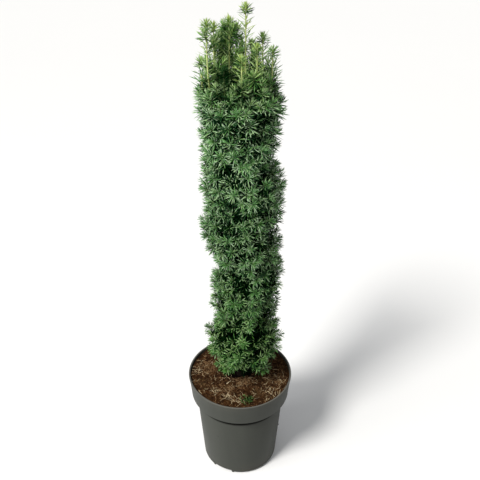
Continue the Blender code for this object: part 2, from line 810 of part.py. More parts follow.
# A shoot: every other side of its six-sided stem is drawn out into a needle, and its end into a bud.
def makeShoot(shoot, parts, material):
    name = "shoot_" + shoot["name"]
    radii = tapered(*SHOOT_STEM, len(shoot["line"]))
    stem = makeLimb(name, shoot["line"], radii, parts, material, 1)
    shape = bmesh.new()
    shape.from_mesh(stem.data)
    for index, whorl in enumerate(shoot["sprays"]):
        turn = sprayTurn(whorl)
        ring = []
        for face in shape.faces:
            if len(face.verts) == 4:
                place = turn.inverted() @ (face.calc_center_median() - whorl["middle"])
                if place.length < WHORL_STEP / 3:
                    ring.append((math.atan2(place.y, place.x), face))
        ring.sort(key=lambda entry: entry[0])
        for angle, face in ring[index % 2::2]:
            tip = Vector((math.cos(angle), math.sin(angle), whorl["cup"])) * whorl["reach"]
            pullOut(shape, face, whorl["middle"] + turn @ tip)
    top = max(shape.faces, key=lambda face: face.calc_center_median().z if len(face.verts) > 4 else 0)
    pullOut(shape, top, shoot["tip"])
    bmesh.ops.triangulate(shape, faces=shape.faces)
    shape.to_mesh(stem.data)
    shape.free()
    smooth(stem, NEEDLE_EDGE)


def main():
    for piece in list(bpy.data.objects):
        bpy.data.objects.remove(piece)
    parts = bpy.data.collections.new(PLANT)
    cutters = bpy.data.collections.new("cutters")
    scraps = bpy.data.collections.new("loose_sprays")
    for group in (parts, cutters, scraps):
        bpy.context.scene.collection.children.link(group)
    plastic = makeMaterial("grey_plastic", (0.095, 0.098, 0.082), 0.5)
    peat = makeMaterial("peat", (0.055, 0.028, 0.014), 0.95)
    bark = makeMaterial("bark", (0.09, 0.045, 0.025), 0.85)
    needles = makeMaterial("needles", (0.022, 0.075, 0.016), 0.55)
    young = makeMaterial("young_needles", (0.08, 0.17, 0.03), 0.5)

    makePot(parts, cutters, plastic)
    makeSoil(parts, cutters, peat)
    trunk_line = [trunkAt(row[0])[0] for row in TRUNK]
    makeLimb("trunk", trunk_line, [row[2] for row in TRUNK], parts, bark)

    chance = random.Random(SEED)
    masses = planMasses()
    planColumn(masses, chance)
    shoots = planShoots()
    fitSprays(masses, shoots)
    for shoot in shoots:
        if shoot["bough"]:
            radii = tapered(*BOUGH_RADIUS, len(shoot["bough"]))
            makeLimb("bough_" + shoot["name"], shoot["bough"], radii, parts, bark, 1)
        makeShoot(shoot, parts, young)
    for mass in masses:
        makeMass(mass, parts, scraps, needles)
    bpy.data.collections.remove(scraps)


main()
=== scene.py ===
import bmesh
import bpy
import numpy as np
import random
from bmesh import ops
from math import atan2, copysign, cos, hypot, inf, pi, radians, sin, sqrt, tau
from mathutils import Matrix, Quaternion, Vector, noise


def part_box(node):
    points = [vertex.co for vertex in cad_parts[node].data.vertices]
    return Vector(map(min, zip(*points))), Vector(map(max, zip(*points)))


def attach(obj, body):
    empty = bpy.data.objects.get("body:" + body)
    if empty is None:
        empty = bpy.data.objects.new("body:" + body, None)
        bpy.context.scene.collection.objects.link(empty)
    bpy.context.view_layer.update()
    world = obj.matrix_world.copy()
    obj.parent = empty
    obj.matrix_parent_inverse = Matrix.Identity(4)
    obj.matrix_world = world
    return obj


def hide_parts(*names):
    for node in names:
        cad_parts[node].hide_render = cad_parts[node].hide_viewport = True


# A slender upright yew in a round grey pot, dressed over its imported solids.
# Metres, +Z up, the front is -Y. An azimuth is counted from the front towards +X.

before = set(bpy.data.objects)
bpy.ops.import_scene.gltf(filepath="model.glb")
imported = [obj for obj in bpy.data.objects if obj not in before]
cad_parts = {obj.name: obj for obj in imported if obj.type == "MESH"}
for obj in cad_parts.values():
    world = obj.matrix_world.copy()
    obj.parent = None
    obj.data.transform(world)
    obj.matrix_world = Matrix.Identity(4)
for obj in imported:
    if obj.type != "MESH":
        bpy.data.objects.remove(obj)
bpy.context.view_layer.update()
golden = pi * (3 - sqrt(5))
gap = 0.0003
weld = 0.00001  # corners closer than this become one
steep = 0.8  # a run that rises more than this counts as upright
pieceLimit = 190000  # triangles in one joined piece


# Small helpers

def nodesOf(start):
    return sorted(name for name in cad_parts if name.startswith(start))


# Table rows whose numbers are in millimetres from a given column on, as metres
def metres(rows, first=0):
    return [(*row[:first], *(value / 1000 for value in row[first:])) for row in rows]


# Table rows whose first column is in degrees, as radians
def turned(rows):
    return [(radians(row[0]), *row[1:]) for row in rows]


def wrapped(azimuth):
    return (azimuth + pi) % tau - pi


def polar(azimuth, radius, z, middle=0.0):
    return Vector((middle + radius * sin(azimuth), -radius * cos(azimuth), z))


# Draws a place in towards the middle until it lies within a radius
def heldIn(x, y, limit):
    radius = hypot(x, y)
    return (x * limit / radius, y * limit / radius) if radius > limit else (x, y)


# A table read between its rows, by its first column
def readRow(rows, z):
    if z <= rows[0][0]:
        return rows[0][1:]
    for low, high in zip(rows, rows[1:]):
        if z <= high[0]:
            share = (z - low[0]) / (high[0] - low[0])
            return tuple(a + (b - a) * share for a, b in zip(low[1:], high[1:]))
    return rows[-1][1:]


def bend(start, guide, end, count):
    shares = [index / count for index in range(count + 1)]
    return [start * (1 - s) ** 2 + guide * 2 * s * (1 - s) + end * s ** 2 for s in shares]


def between(first, last, share):
    return first + (last - first) * share


def tapered(first, last, count):
    return [between(first, last, index / (count - 1)) for index in range(count)]


def rowsOf(line):
    return [point[:] for point in line]


def lineLength(line):
    return sum((b - a).length for a, b in zip(line, line[1:]))


def unit(vectors, least=0.0):
    return vectors / (np.linalg.norm(vectors, axis=-1, keepdims=True) + least)


def meshFrom(shape, name):
    mesh = bpy.data.meshes.new(name)
    shape.to_mesh(mesh)
    shape.free()
    return mesh


def faceOut(shape):
    shape.normal_update()
    ops.recalc_face_normals(shape, faces=shape.faces)


def link(name, data):
    thing = bpy.data.objects.new(name, data)
    bpy.context.scene.collection.objects.link(thing)
    return thing


# Links a finished mesh as a piece that rides on the plant's one body
def addPiece(name, mesh, material, nodes=()):
    piece = link(name, mesh)
    mesh.materials.clear()
    mesh.materials.append(material)
    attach(piece, "root")
    if nodes:
        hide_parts(*nodes)


# Materials

# A socket with arithmetic: every sign adds its Math node
class Wire:
    def __init__(self, recipe, socket):
        self.recipe = recipe
        self.socket = socket

    def sign(self, operation, first, second, clamp=False):
        settings = {"operation": operation, "use_clamp": clamp}
        return self.recipe.node("ShaderNodeMath", settings, {0: first, 1: second})

    __add__ = __radd__ = lambda self, other: self.sign("ADD", self, other)
    __mul__ = __rmul__ = lambda self, other: self.sign("MULTIPLY", self, other)
    __sub__ = lambda self, other: self.sign("SUBTRACT", self, other)
    __rsub__ = lambda self, other: self.sign("SUBTRACT", other, self)
    __pow__ = lambda self, other: self.sign("POWER", self, other)

    def kept(self):
        return self.sign("ADD", self, 0.0, clamp=True)


class Recipe:
    def __init__(self, name):
        self.material = bpy.data.materials.new(name)
        self.material.use_nodes = True
        self.tree = self.material.node_tree
        self.place = self.node("ShaderNodeTexCoord", output="Object")

    def feed(self, socket, value):
        if isinstance(value, Wire):
            self.tree.links.new(value.socket, socket)
        else:
            socket.default_value = value

    # Any node: its settings come first, then the values or links of its sockets
    def node(self, kind, settings=None, sockets=None, output=0):
        made = self.tree.nodes.new(kind)
        for name, value in (settings or {}).items():
            setattr(made, name, value)
        for name, value in (sockets or {}).items():
            self.feed(made.inputs[name], value)
        return Wire(self, made.outputs[output])

    def stretched(self, *scale):
        return self.node("ShaderNodeMapping", {}, {"Vector": self.place, "Scale": scale})

    def clouds(self, scale, detail=3.0, roughness=0.55, place=None):
        sockets = {"Vector": place or self.place, "Scale": scale, "Detail": detail, "Roughness": roughness}
        return self.node("ShaderNodeTexNoise", {}, sockets)

    # One coordinate of the place: X, Y or Z
    def along(self, axis):
        return self.node("ShaderNodeSeparateXYZ", {}, {0: self.place}, output=axis)

    # 0 under the low value, 1 over the high one
    def step(self, value, low, high):
        return ((value - low) * (1.0 / (high - low))).kept()

    def blend(self, share, first, second):
        ends = [(*colour, 1.0) if isinstance(colour, tuple) else colour for colour in (first, second)]
        return self.node("ShaderNodeMix", {"data_type": "RGBA"}, {0: share, 6: ends[0], 7: ends[1]}, output=2)

    # From the first colour to the second while the value goes from low to high
    def fade(self, value, low, high, first, second):
        return self.blend(self.step(value, low, high), first, second)

    def raised(self, height, distance, strength):
        sockets = {"Height": height, "Distance": distance, "Strength": strength}
        return self.node("ShaderNodeBump", {}, sockets)

    def finish(self, colour, roughness, skin=None, gloss=0.5):
        surface = self.tree.nodes["Principled BSDF"].inputs
        self.feed(surface["Base Color"], colour)
        self.feed(surface["Roughness"], roughness)
        self.feed(surface["Specular IOR Level"], gloss)
        if skin:
            self.feed(surface["Normal"], skin)
        return self.material


# The view and the studio

camera = {
    "place": (0.0, -1.4315, 1.5955),
    "tilt": radians(55.521),
    "lens": 63.75,
}


def setCamera():
    lens = bpy.data.cameras.new("camera")
    lens.lens = camera["lens"]
    holder = link("camera", lens)
    holder.location = camera["place"]
    holder.rotation_euler = (camera["tilt"], 0.0, 0.0)
    bpy.context.scene.camera = holder


studio = {
    "floorSize": 16.0,
    "floorColour": (0.88, 0.88, 0.88),
    "skyColour": (0.97, 0.985, 1.0, 1.0),
    "skyStrength": 0.42,
    # name, kind, place and target of a lamp, then its own settings
    "lamps": (
        ("sun", "SUN", (-0.56, -0.58, 1.0), (0.0, 0.0, 0.0),
         {"energy": 2.95, "angle": radians(16), "color": (1.0, 0.98, 0.94)}),
        ("soft_box", "AREA", (-1.35, -0.65, 0.75), (0.0, 0.0, 0.5),
         {"energy": 17.0, "shape": "RECTANGLE", "size": 0.8, "size_y": 1.6}),
    ),
}


def setStudio():
    bpy.context.scene.view_settings.view_transform = "Standard"
    world = bpy.data.worlds.new("studio")
    bpy.context.scene.world = world
    world.use_nodes = True
    sky = world.node_tree.nodes["Background"]
    sky.inputs["Color"].default_value = studio["skyColour"]
    sky.inputs["Strength"].default_value = studio["skyStrength"]
    for name, kind, place, target, settings in studio["lamps"]:
        lamp = bpy.data.lights.new(name, kind)
        for setting, value in settings.items():
            setattr(lamp, setting, value)
        holder = link(name, lamp)
        holder.location = place
        holder.rotation_euler = (Vector(target) - Vector(place)).to_track_quat("-Z", "Y").to_euler()
    shape = bmesh.new()
    ops.create_grid(shape, x_segments=1, y_segments=1, size=studio["floorSize"] / 2)
    floor = link("studio_floor", meshFrom(shape, "studio_floor"))
    recipe = Recipe("pale_floor")
    pale = studio["floorColour"]
    tint = recipe.blend(recipe.clouds(1.5), pale, tuple(value * 0.98 for value in pale))
    floor.data.materials.append(recipe.finish(tint, 0.9))


# Pot: a thin turned shell with a deep collar, a rim bead and three drain pockets

_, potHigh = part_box("pot")
pot = {
    "height": potHigh.z,
    "rim": potHigh.x,
    "bead": 0.0013,
    "collarFoot": 0.1108,
    "collarFootZ": 0.194,
    "wallTop": 0.0998,
    "foot": 0.0845,
    "footRound": 0.008,
    "wall": 0.0022,
    "floor": 0.003,
    "insideRound": 0.004,
    "ledgeRound": 0.0016,
    "roundSteps": 4,
    "arcSteps": 18,
    "pipSteps": (20, 12),
    "steps": 144,
    "sharp": radians(32),
    "drains": 3,
    "drainAzimuth": radians(-29),
    "drainAngle": radians(34),
    "drainHeight": 0.0095,
    "drainDepth": 0.02,
    "drainWall": 0.0025,
    "slotTaper": 0.90,
    "pocketTaper": 0.94,
    # azimuth, height and how far each pip stands out
    "pips": turned(((88, 0.079, 0.0022), (-32, 0.12, 0.0008))),
    "pipRoot": 0.0019,
    # height and depth of the faint rings that the mould leaves, and half their width
    "rings": ((0.186, 0.00025), (0.0125, 0.0003)),
    "ringWidth": 0.001,
}


# A profile to be turned: the points begin with a radius and a height
def profileOf(points):
    shape = bmesh.new()
    line = [shape.verts.new((point[0], 0.0, point[1])) for point in points]
    for start, end in zip(line, line[1:]):
        shape.edges.new((start, end))
    return shape, line


def turnProfile(shape, steps):
    ops.spin(shape, geom=shape.verts[:] + shape.edges[:], cent=(0, 0, 0), axis=(0, 0, 1),
             angle=tau, steps=steps, use_merge=True, use_duplicate=False)
    ops.remove_doubles(shape, verts=shape.verts, dist=weld)
    faceOut(shape)


# Radius, height and rounding of each corner, from the middle of the inside to the middle of the foot
def potCorners():
    rim, bead, height = pot["rim"], pot["bead"], pot["height"]
    wall, wallTop, foot = pot["wall"], pot["wallTop"], pot["foot"]
    collar, ledge, rounding = pot["collarFoot"], pot["collarFootZ"], pot["ledgeRound"]
    corners = [
        (0.0, pot["floor"], 0.0),
        (foot - wall, pot["floor"], pot["insideRound"]),
        (wallTop - wall, ledge + wall, rounding),
        (collar - wall, ledge + wall, rounding),
        (rim - bead - wall, height, bead * 0.6),
        (rim, height, bead * 0.8),
        (rim, height - 2.2 * bead, bead * 0.5),
        (rim - bead, height - 3.2 * bead, bead * 0.5),
        (collar, ledge, rounding),
        (wallTop, ledge, rounding * 0.7),
    ]
    slope = (wallTop - foot) / ledge
    for z, depth in pot["rings"]:
        for side, dent in ((1, 0.0), (0, depth), (-1, 0.0)):
            rise = side * pot["ringWidth"]
            corners.append((foot + slope * z + slope * rise - dent, z + rise, 0.0))
    return corners + [(foot, 0.0, pot["footRound"]), (0.0, 0.0, 0.0)]


# A block bent round Z whose ends slant in towards its top
def arcBlock(azimuth, angle, inside, outside, foot, top, taper):
    shape = bmesh.new()
    ops.create_grid(shape, x_segments=1, y_segments=1, size=0.5)
    for corner in shape.verts:
        corner.co = (0.0, -between(inside, outside, corner.co.x + 0.5), between(foot, top, corner.co.y + 0.5))
    ops.spin(shape, geom=shape.verts[:] + shape.edges[:] + shape.faces[:], cent=(0, 0, 0),
             axis=(0, 0, 1), angle=angle, steps=pot["arcSteps"], use_duplicate=False)
    for corner in shape.verts:
        turn = atan2(corner.co.x, -corner.co.y) - angle / 2
        if corner.co.z > (foot + top) / 2:
            turn *= taper
        corner.co = polar(azimuth + turn, corner.co.xy.length, corner.co.z)
    ops.remove_doubles(shape, verts=shape.verts, dist=weld)
    faceOut(shape)
    return meshFrom(shape, "block")


# Cuts with or joins a group of helper shapes, applied at once
def carve(mesh, operation, shapes):
    group = bpy.data.collections.new("helpers")
    bpy.context.scene.collection.children.link(group)
    helpers = [bpy.data.objects.new("helper", shape) for shape in shapes]
    for helper in helpers:
        group.objects.link(helper)
    holder = link("holder", mesh)
    cut = holder.modifiers.new("cut", "BOOLEAN")
    cut.operation = operation
    cut.operand_type = "COLLECTION"
    cut.collection = group
    cut.solver = "EXACT"
    bpy.context.view_layer.update()
    result = bpy.data.meshes.new_from_object(holder.evaluated_get(bpy.context.evaluated_depsgraph_get()))
    for thing in helpers + [holder]:
        bpy.data.objects.remove(thing)
    bpy.data.collections.remove(group)
    return result


def potPlastic():
    recipe = Recipe("grey_moulded_plastic")
    dust = recipe.clouds(9.0, 4.0)
    flow = recipe.clouds(24.0, 2.0, place=recipe.stretched(1.0, 1.0, 0.12))
    grain = recipe.clouds(620.0, 2.0)
    scuffs = recipe.step(recipe.clouds(55.0, 6.0, 0.7, recipe.stretched(1.0, 1.0, 3.5)), 0.62, 0.74)
    height = recipe.along("Z")
    rimDust = recipe.step(height, 0.225, 0.25) * recipe.step(dust, 0.35, 0.75)
    # painted shade: a near black, rougher band on the wall just under the collar's ledge
    paintedLedgeShade = recipe.step(height, 0.1735, 0.1785) * (1.0 - recipe.step(height, 0.1945, 0.1955))
    # painted highlight: a lighter line along the rim bead's top edge
    edge = recipe.step(height, 0.2468, 0.2478)
    footDust = (1.0 - recipe.step(height, 0.0, 0.05)) * recipe.step(dust, 0.4, 0.7)
    colour = recipe.blend(recipe.step(flow, 0.3, 0.7) * 0.6, (0.045, 0.0475, 0.041), (0.054, 0.0565, 0.049))
    colour = recipe.blend(scuffs * 0.25, colour, (0.085, 0.088, 0.078))
    colour = recipe.blend((rimDust * 0.35 + footDust * 0.3).kept(), colour, (0.09, 0.084, 0.068))
    # the painted shade under the collar's ledge
    colour = recipe.blend(paintedLedgeShade * 0.95, colour, (0.002, 0.002, 0.0015))
    # the painted highlight on the rim bead
    colour = recipe.blend(edge * 0.5, colour, (0.16, 0.155, 0.14))
    rough = 0.40 + dust * 0.14 + scuffs * 0.12 + paintedLedgeShade * 0.4
    skin = recipe.raised(grain * 0.6 + flow * 0.8 + scuffs * 0.4, 0.0002, 0.5)
    return recipe.finish(colour, rough, skin, 0.05)


def makePot():
    corners = potCorners()
    shape, line = profileOf(corners)
    for corner, (_, _, rounding) in zip(line, corners):
        if rounding:
            ops.bevel(shape, geom=[corner], affect="VERTICES", offset=rounding, offset_type="OFFSET",
                      segments=pot["roundSteps"], profile=0.5, material=-1)
    turnProfile(shape, pot["steps"])
    mesh = meshFrom(shape, "pot_shell")
    foot, depth, wall, high = pot["foot"], pot["drainDepth"], pot["drainWall"], pot["drainHeight"]
    pockets = []
    slots = []
    for index in range(pot["drains"]):
        azimuth = pot["drainAzimuth"] + index * tau / pot["drains"]
        pockets.append(arcBlock(azimuth, pot["drainAngle"] + 2 * wall / foot, foot - depth - wall,
                                foot - pot["wall"] / 2, pot["floor"] / 2, high + wall, pot["pocketTaper"]))
        slots.append(arcBlock(azimuth, pot["drainAngle"], foot - depth, foot + depth,
                              -high, high, pot["slotTaper"]))
    around, upward = pot["pipSteps"]
    for azimuth, z, proud in pot["pips"]:
        outside = between(foot, pot["wallTop"], z / pot["collarFootZ"])
        radius = (proud + pot["pipRoot"]) / 2
        ball = bmesh.new()
        ops.create_uvsphere(ball, u_segments=around, v_segments=upward, radius=radius)
        ops.translate(ball, verts=ball.verts, vec=polar(azimuth, outside + proud - radius, z))
        pockets.append(meshFrom(ball, "pip"))
    mesh = carve(mesh, "UNION", pockets)
    mesh = carve(mesh, "DIFFERENCE", slots)
    mesh.shade_smooth()
    mesh.set_sharp_from_angle(angle=pot["sharp"])
    addPiece("pot_shell", mesh, potPlastic(), ("pot",))


# Compost: a body with a crumbly top, and what lies on it

soil = {
    "z": 0.243,
    "edgeDrop": 0.0015,
    "radius": 0.1125,
    "ringStep": 0.0017,
    "steps": 330,
    "relief": (0.0016, 60.0),  # height and frequency of the heaps
    "fineRelief": (0.0009, 210.0),
    "foot": 0.0155,
    "level": 0.0001,  # corners this close under the top are heaped too
    # painted shadow on the compost under the crown: where it fades out, its place behind the middle, its spread
    "paintedShadow": (0.017, 0.030),
    "paintedShadowBehind": 0.002,
    "paintedShadowWide": 0.5,
}


def soilHeight(x, y):
    drop = soil["edgeDrop"] * (hypot(x, y) / soil["radius"]) ** 4
    heaps = noise.fractal(Vector((x, y, 0.4)) * soil["relief"][1], 1.0, 2.0, 3) * soil["relief"][0]
    crumbs = noise.noise(Vector((x, y, 0.9)) * soil["fineRelief"][1]) * soil["fineRelief"][0]
    return soil["z"] - drop + heaps + crumbs


def peat():
    recipe = Recipe("peat")
    clumps = recipe.clouds(70.0, 6.0, 0.65)
    fibre = recipe.clouds(260.0, 5.0, 0.7, recipe.stretched(1.0, 0.35, 1.0))
    patch = recipe.clouds(22.0, 3.0)
    colour = recipe.fade(clumps, 0.35, 0.68, (0.011, 0.0040, 0.0011), (0.058, 0.025, 0.0088))
    colour = recipe.blend(recipe.step(fibre, 0.56, 0.72) * 0.7, colour, (0.17, 0.090, 0.040))
    colour = recipe.blend(recipe.step(patch, 0.55, 0.7) * 0.35, colour, (0.11, 0.07, 0.028))
    # painted shadow: the compost turns near black under the crown
    across = recipe.along("X") * soil["paintedShadowWide"]
    behind = recipe.along("Y") - soil["paintedShadowBehind"]
    away = (across * across + behind * behind) ** 0.5
    colour = recipe.fade(away, *soil["paintedShadow"], (0.003, 0.0015, 0.0008), colour)
    skin = recipe.raised(clumps * 0.7 + fibre * 0.6, 0.0015, 0.9)
    return recipe.finish(colour, 0.97 - fibre * 0.1, skin, 0.04)


def makeSoil():
    radius, rings = soil["radius"], round(soil["radius"] / soil["ringStep"])
    line = [(radius * index / rings, soil["z"]) for index in range(rings + 1)]
    slant = (pot["rim"] - pot["bead"] - pot["collarFoot"]) / (pot["height"] - pot["collarFootZ"])
    inner = pot["wall"] + gap
    ledge = pot["collarFootZ"] + inner
    line += [(radius - slant * (soil["z"] - ledge), ledge), (pot["wallTop"] - inner, ledge),
             (pot["foot"] - inner, soil["foot"]), (0.0, soil["foot"])]
    shape, _ = profileOf(line)
    turnProfile(shape, soil["steps"])
    for corner in shape.verts:
        if corner.co.z > soil["z"] - soil["level"]:
            corner.co.z = soilHeight(corner.co.x, corner.co.y)
    mesh = meshFrom(shape, "compost_body")
    mesh.shade_smooth()
    addPiece("compost_body", mesh, peat(), ("compost",))


# Joined copies of a small closed shape. Corners are across, up and along in the copy's own size.

def templateFrom(shape):
    ops.triangulate(shape, faces=shape.faces)
    faceOut(shape)
    shape.verts.index_update()
    corners = np.array([corner.co[:] for corner in shape.verts], dtype=np.float64)
    faces = np.array([[corner.index for corner in face.verts] for face in shape.faces], dtype=np.int32)
    shape.free()
    return corners, faces


def addMesh(name, points, faces, material, nodes=()):
    mesh = bpy.data.meshes.new(name)
    mesh.vertices.add(len(points))
    mesh.vertices.foreach_set("co", np.ascontiguousarray(points, dtype=np.float32).ravel())
    mesh.loops.add(faces.size)
    mesh.loops.foreach_set("vertex_index", np.ascontiguousarray(faces, dtype=np.int32).ravel())
    mesh.polygons.add(len(faces))
    mesh.polygons.foreach_set("loop_start", np.arange(0, faces.size, 3, dtype=np.int32))
    mesh.update(calc_edges=True)
    mesh.validate()
    addPiece(name, mesh, material, nodes)


# The faces of a number of copies, whose corners follow one another
def repeated(corners, faces, count):
    return (faces[None] + (np.arange(count) * len(corners))[:, None, None]).reshape(-1, 3)


# origins (n, 3); axes (n, 3, 3): rows are the across, up and along edges of each copy; curl bends it up
def addCopies(name, template, origins, axes, curl, material):
    corners, faces = template
    each = pieceLimit // len(faces)
    for part, first in enumerate(range(0, len(origins), each)):
        chosen = slice(first, first + each)
        points = origins[chosen, None, :] + np.einsum("vk,nkc->nvc", corners, axes[chosen])
        if curl is not None:
            lift = (corners[:, 2] ** 2)[None, :, None] * curl[chosen, None, None]
            points = points + lift * unit(axes[chosen, 1])[:, None, :]
        title = name if len(origins) <= each else f"{name}_{part + 1}"
        addMesh(title, points.reshape(-1, 3), repeated(corners, faces, len(points)), material)


# A closed ring that a limb or a tube begins with
def startRing(shape, sides, radius, matrix=Matrix()):
    made = ops.create_circle(shape, cap_ends=False, segments=sides, radius=radius, matrix=matrix)
    edges = list(dict.fromkeys(edge for corner in made["verts"] for edge in corner.link_edges))
    ops.edgeloop_fill(shape, edges=edges)
    return list(made["verts"]), edges


# The next ring, which still lies on the last one
def drawRing(shape, edges):
    drawn = ops.extrude_edge_only(shape, edges=edges)["geom"]
    ring = [item for item in drawn if isinstance(item, bmesh.types.BMVert)]
    edges = [item for item in drawn if isinstance(item, bmesh.types.BMEdge)]
    return ring, [edge for edge in edges if all(corner in ring for corner in edge.verts)]


# A closed tube of one ring per step, which is then led along a line
def tubeTemplate(steps, sides):
    shape = bmesh.new()
    _, edges = startRing(shape, sides, 1.0)
    for _ in range(steps - 1):
        ring, edges = drawRing(shape, edges)
        ops.translate(shape, verts=ring, vec=(0, 0, 1))
    ops.edgeloop_fill(shape, edges=edges)
    return templateFrom(shape)


# Tubes along many lines of the same count of points: lines (n, p, 3), radii (n, p)
def tubes(lines, radii, sides):
    runs = unit(np.gradient(lines, axis=1), 1e-12)
    isFlat = np.abs(runs.mean(axis=1)[:, 2:3]) < steep
    spare = np.where(isFlat, np.array([[0.0, 0.0, 1.0]]), np.array([[1.0, 0.0, 0.0]]))
    across = unit(np.cross(spare[:, None, :], runs))
    upward = np.cross(runs, across)
    corners, faces = tubeTemplate(lines.shape[1], sides)
    level = np.rint(corners[:, 2]).astype(int)
    ring = across[:, level] * corners[None, :, 0:1] + upward[:, level] * corners[None, :, 1:2]
    points = lines[:, level] + ring * radii[:, level, None]
    return points.reshape(-1, 3), repeated(corners, faces, len(lines))


# One piece of tubes: each group has lines (n, p, 3) and the radii at their ends, or at every point
def addTubes(name, groups, sides, material, nodes=()):
    points = np.zeros((0, 3))
    faces = np.zeros((0, 3), dtype=int)
    for lines, radii in groups:
        lines = np.array([rowsOf(line) for line in lines])
        if isinstance(radii, tuple):
            radii = np.tile(np.linspace(*radii, lines.shape[1]), (len(lines), 1))
        newPoints, newFaces = tubes(lines, radii, sides)
        faces = np.concatenate((faces, newFaces + len(points)))
        points = np.concatenate((points, newPoints))
    addMesh(name, points, faces, material, nodes)


# What lies on the compost: crumbs, fibres, straw and small green sprigs

litter = {
    "seed": 7,
    # name, count, size range, colour pair
    "crumbs": (
        ("dark_crumbs", 1700, (0.0008, 0.0028), (0.008, 0.0028, 0.0008), (0.030, 0.0115, 0.004)),
        ("red_crumbs", 900, (0.0007, 0.0022), (0.064, 0.026, 0.009), (0.125, 0.055, 0.021)),
    ),
    # name, count, length range, radius range, curl, colour pair
    "fibres": (
        ("dark_fibres", 1200, (0.004, 0.012), (0.0003, 0.0007), 2.2,
         (0.018, 0.007, 0.003), (0.050, 0.022, 0.009)),
        ("tan_fibres", 1150, (0.0028, 0.010), (0.0003, 0.0007), 2.8,
         (0.088, 0.045, 0.019), (0.27, 0.165, 0.080)),
        ("straw_fibres", 150, (0.006, 0.018), (0.0003, 0.0006), 2.6,
         (0.42, 0.32, 0.18), (0.60, 0.50, 0.33)),
    ),
    # denser patches of tan and straw fibres: kind, count, place and radius in millimetres
    "patches": metres((
        ("tan_fibres", 170, 7, -26, 16), ("tan_fibres", 90, -30, -55, 18), ("tan_fibres", 120, 85, -22, 18),
        ("tan_fibres", 150, -78, 18, 24), ("straw_fibres", 16, -12, -82, 10), ("straw_fibres", 14, -30, -73, 10),
        ("straw_fibres", 10, -50, -60, 10), ("straw_fibres", 14, -92, 10, 12), ("straw_fibres", 16, 70, -55, 16),
        ("straw_fibres", 12, 88, -20, 14), ("straw_fibres", 12, 8, -30, 14),
    ), 2),
    "edge": 0.0025,  # the bare strip along the pot
    "knock": (0.3, 3.1),  # depth and frequency of a crumb's dents
    "crumbScale": (0.6, 1.2),
    "crumbLift": 0.15,
    "swell": (0.35, 0.9, 1.0, 0.95, 0.75, 0.25),  # how thick a fibre is along its points
    "fibreEdge": 0.002,
    "rising": (0.4, 0.0022),  # how many fibres rise off the compost, and how far
    "lift": 0.0004,
    "wander": 0.25,
    "stick": ((-0.030, -0.036), (-0.021, -0.026)),
    "stickLift": 0.0012,
    "stickRadius": 0.0007,
    # sprigs that have seeded themselves: place and shoots, then their length and rise
    "sprigs": (((0.0180, -0.0885), 10), ((0.004, -0.0920), 2)),
    "sprigLength": (0.005, 0.014),
    "sprigRise": (0.10, 0.45),
    "sprigEdge": 0.006,
    "sprigTurn": 0.3,
    "sprigLift": (0.001, 0.002, 0.003),  # of its foot off the compost, of its tip and of the bow between
}


def litterSkin(name, first, second):
    recipe = Recipe(name)
    fine = recipe.clouds(900.0, 3.0, 0.6)
    colour = recipe.fade(recipe.clouds(140.0, 4.0, 0.6), 0.35, 0.68, first, second)
    return recipe.finish(colour, 0.82 + fine * 0.16, recipe.raised(fine, 0.0003, 0.7), 0.1)


def onSoil(chance, middle=(0.0, 0.0), radius=None):
    reach = soil["radius"] - litter["edge"]
    while True:
        away = (radius or reach) * sqrt(chance.random())
        azimuth = chance.uniform(0, tau)
        x = middle[0] + away * sin(azimuth)
        y = middle[1] - away * cos(azimuth)
        # litter stays out of the painted shadow under the crown
        isOpen = hypot(x * soil["paintedShadowWide"], y - soil["paintedShadowBehind"]) > soil["paintedShadow"][0]
        if isOpen and hypot(x, y) < reach:
            return x, y


# A crumb is a small ball knocked out of shape
def makeCrumbs(chance, picker):
    shape = bmesh.new()
    ops.create_icosphere(shape, subdivisions=1, radius=0.5)
    depth, frequency = litter["knock"]
    for corner in shape.verts:
        corner.co *= 1 + depth * noise.noise(corner.co * frequency)
    template = templateFrom(shape)
    for name, count, sizes, first, second in litter["crumbs"]:
        spots = np.array([onSoil(chance) for _ in range(count)])
        size = between(*sizes, picker.random(count) ** 2)
        heights = np.array([soilHeight(x, y) for x, y in spots])
        origins = np.column_stack((spots, heights + size * litter["crumbLift"]))
        scale = size[:, None] * picker.uniform(*litter["crumbScale"], (count, 3))
        turns = unit(picker.normal(size=(count, 4))).tolist()
        axes = np.array([Quaternion(turn).to_matrix() for turn in turns]) * scale[:, :, None]
        addCopies(name, template, origins, axes, None, litterSkin(name, first, second))


# A fibre wanders over the compost and follows its heaps
def fibreLine(chance, spot, length, curl):
    x, y = spot
    steps = len(litter["swell"])
    share, high = litter["rising"]
    heading = chance.uniform(0, tau)
    turn = chance.uniform(-curl, curl)
    rise = chance.uniform(0.0, high) if chance.random() < share else 0.0
    line = []
    for index in range(steps):
        x, y = heldIn(x, y, soil["radius"] - litter["fibreEdge"])
        line.append((x, y, soilHeight(x, y) + litter["lift"] + rise * (index / (steps - 1))))
        heading += turn / steps + chance.uniform(-litter["wander"], litter["wander"])
        x += cos(heading) * length / (steps - 1)
        y += sin(heading) * length / (steps - 1)
    return line


def makeFibres(chance):
    for name, count, lengths, radii, curl, first, second in litter["fibres"]:
        spots = [onSoil(chance) for _ in range(count)]
        for kind, extra, x, y, reach in litter["patches"]:
            if kind == name:
                spots += [onSoil(chance, (x, y), reach) for _ in range(extra)]
        lines = [fibreLine(chance, spot, chance.uniform(*lengths), curl) for spot in spots]
        widest = np.array([chance.uniform(*radii) for _ in spots])
        group = (lines, widest[:, None] * np.array(litter["swell"])[None, :])
        addTubes(name, [group], 4, litterSkin(name + "_skin", first, second))
    start, end = (Vector((x, y, soilHeight(x, y) + litter["stickLift"])) for x, y in litter["stick"])
    stick = [start.lerp(end, share) for share in (0.0, 0.3, 0.6, 1.0)]
    addTubes("straw_stick", [([stick], (litter["stickRadius"],) * 2)], 6,
             litterSkin("straw_stick_skin", (0.66, 0.55, 0.36), (0.80, 0.70, 0.50)))


# Crown: the outline and the rules of the solids, written again

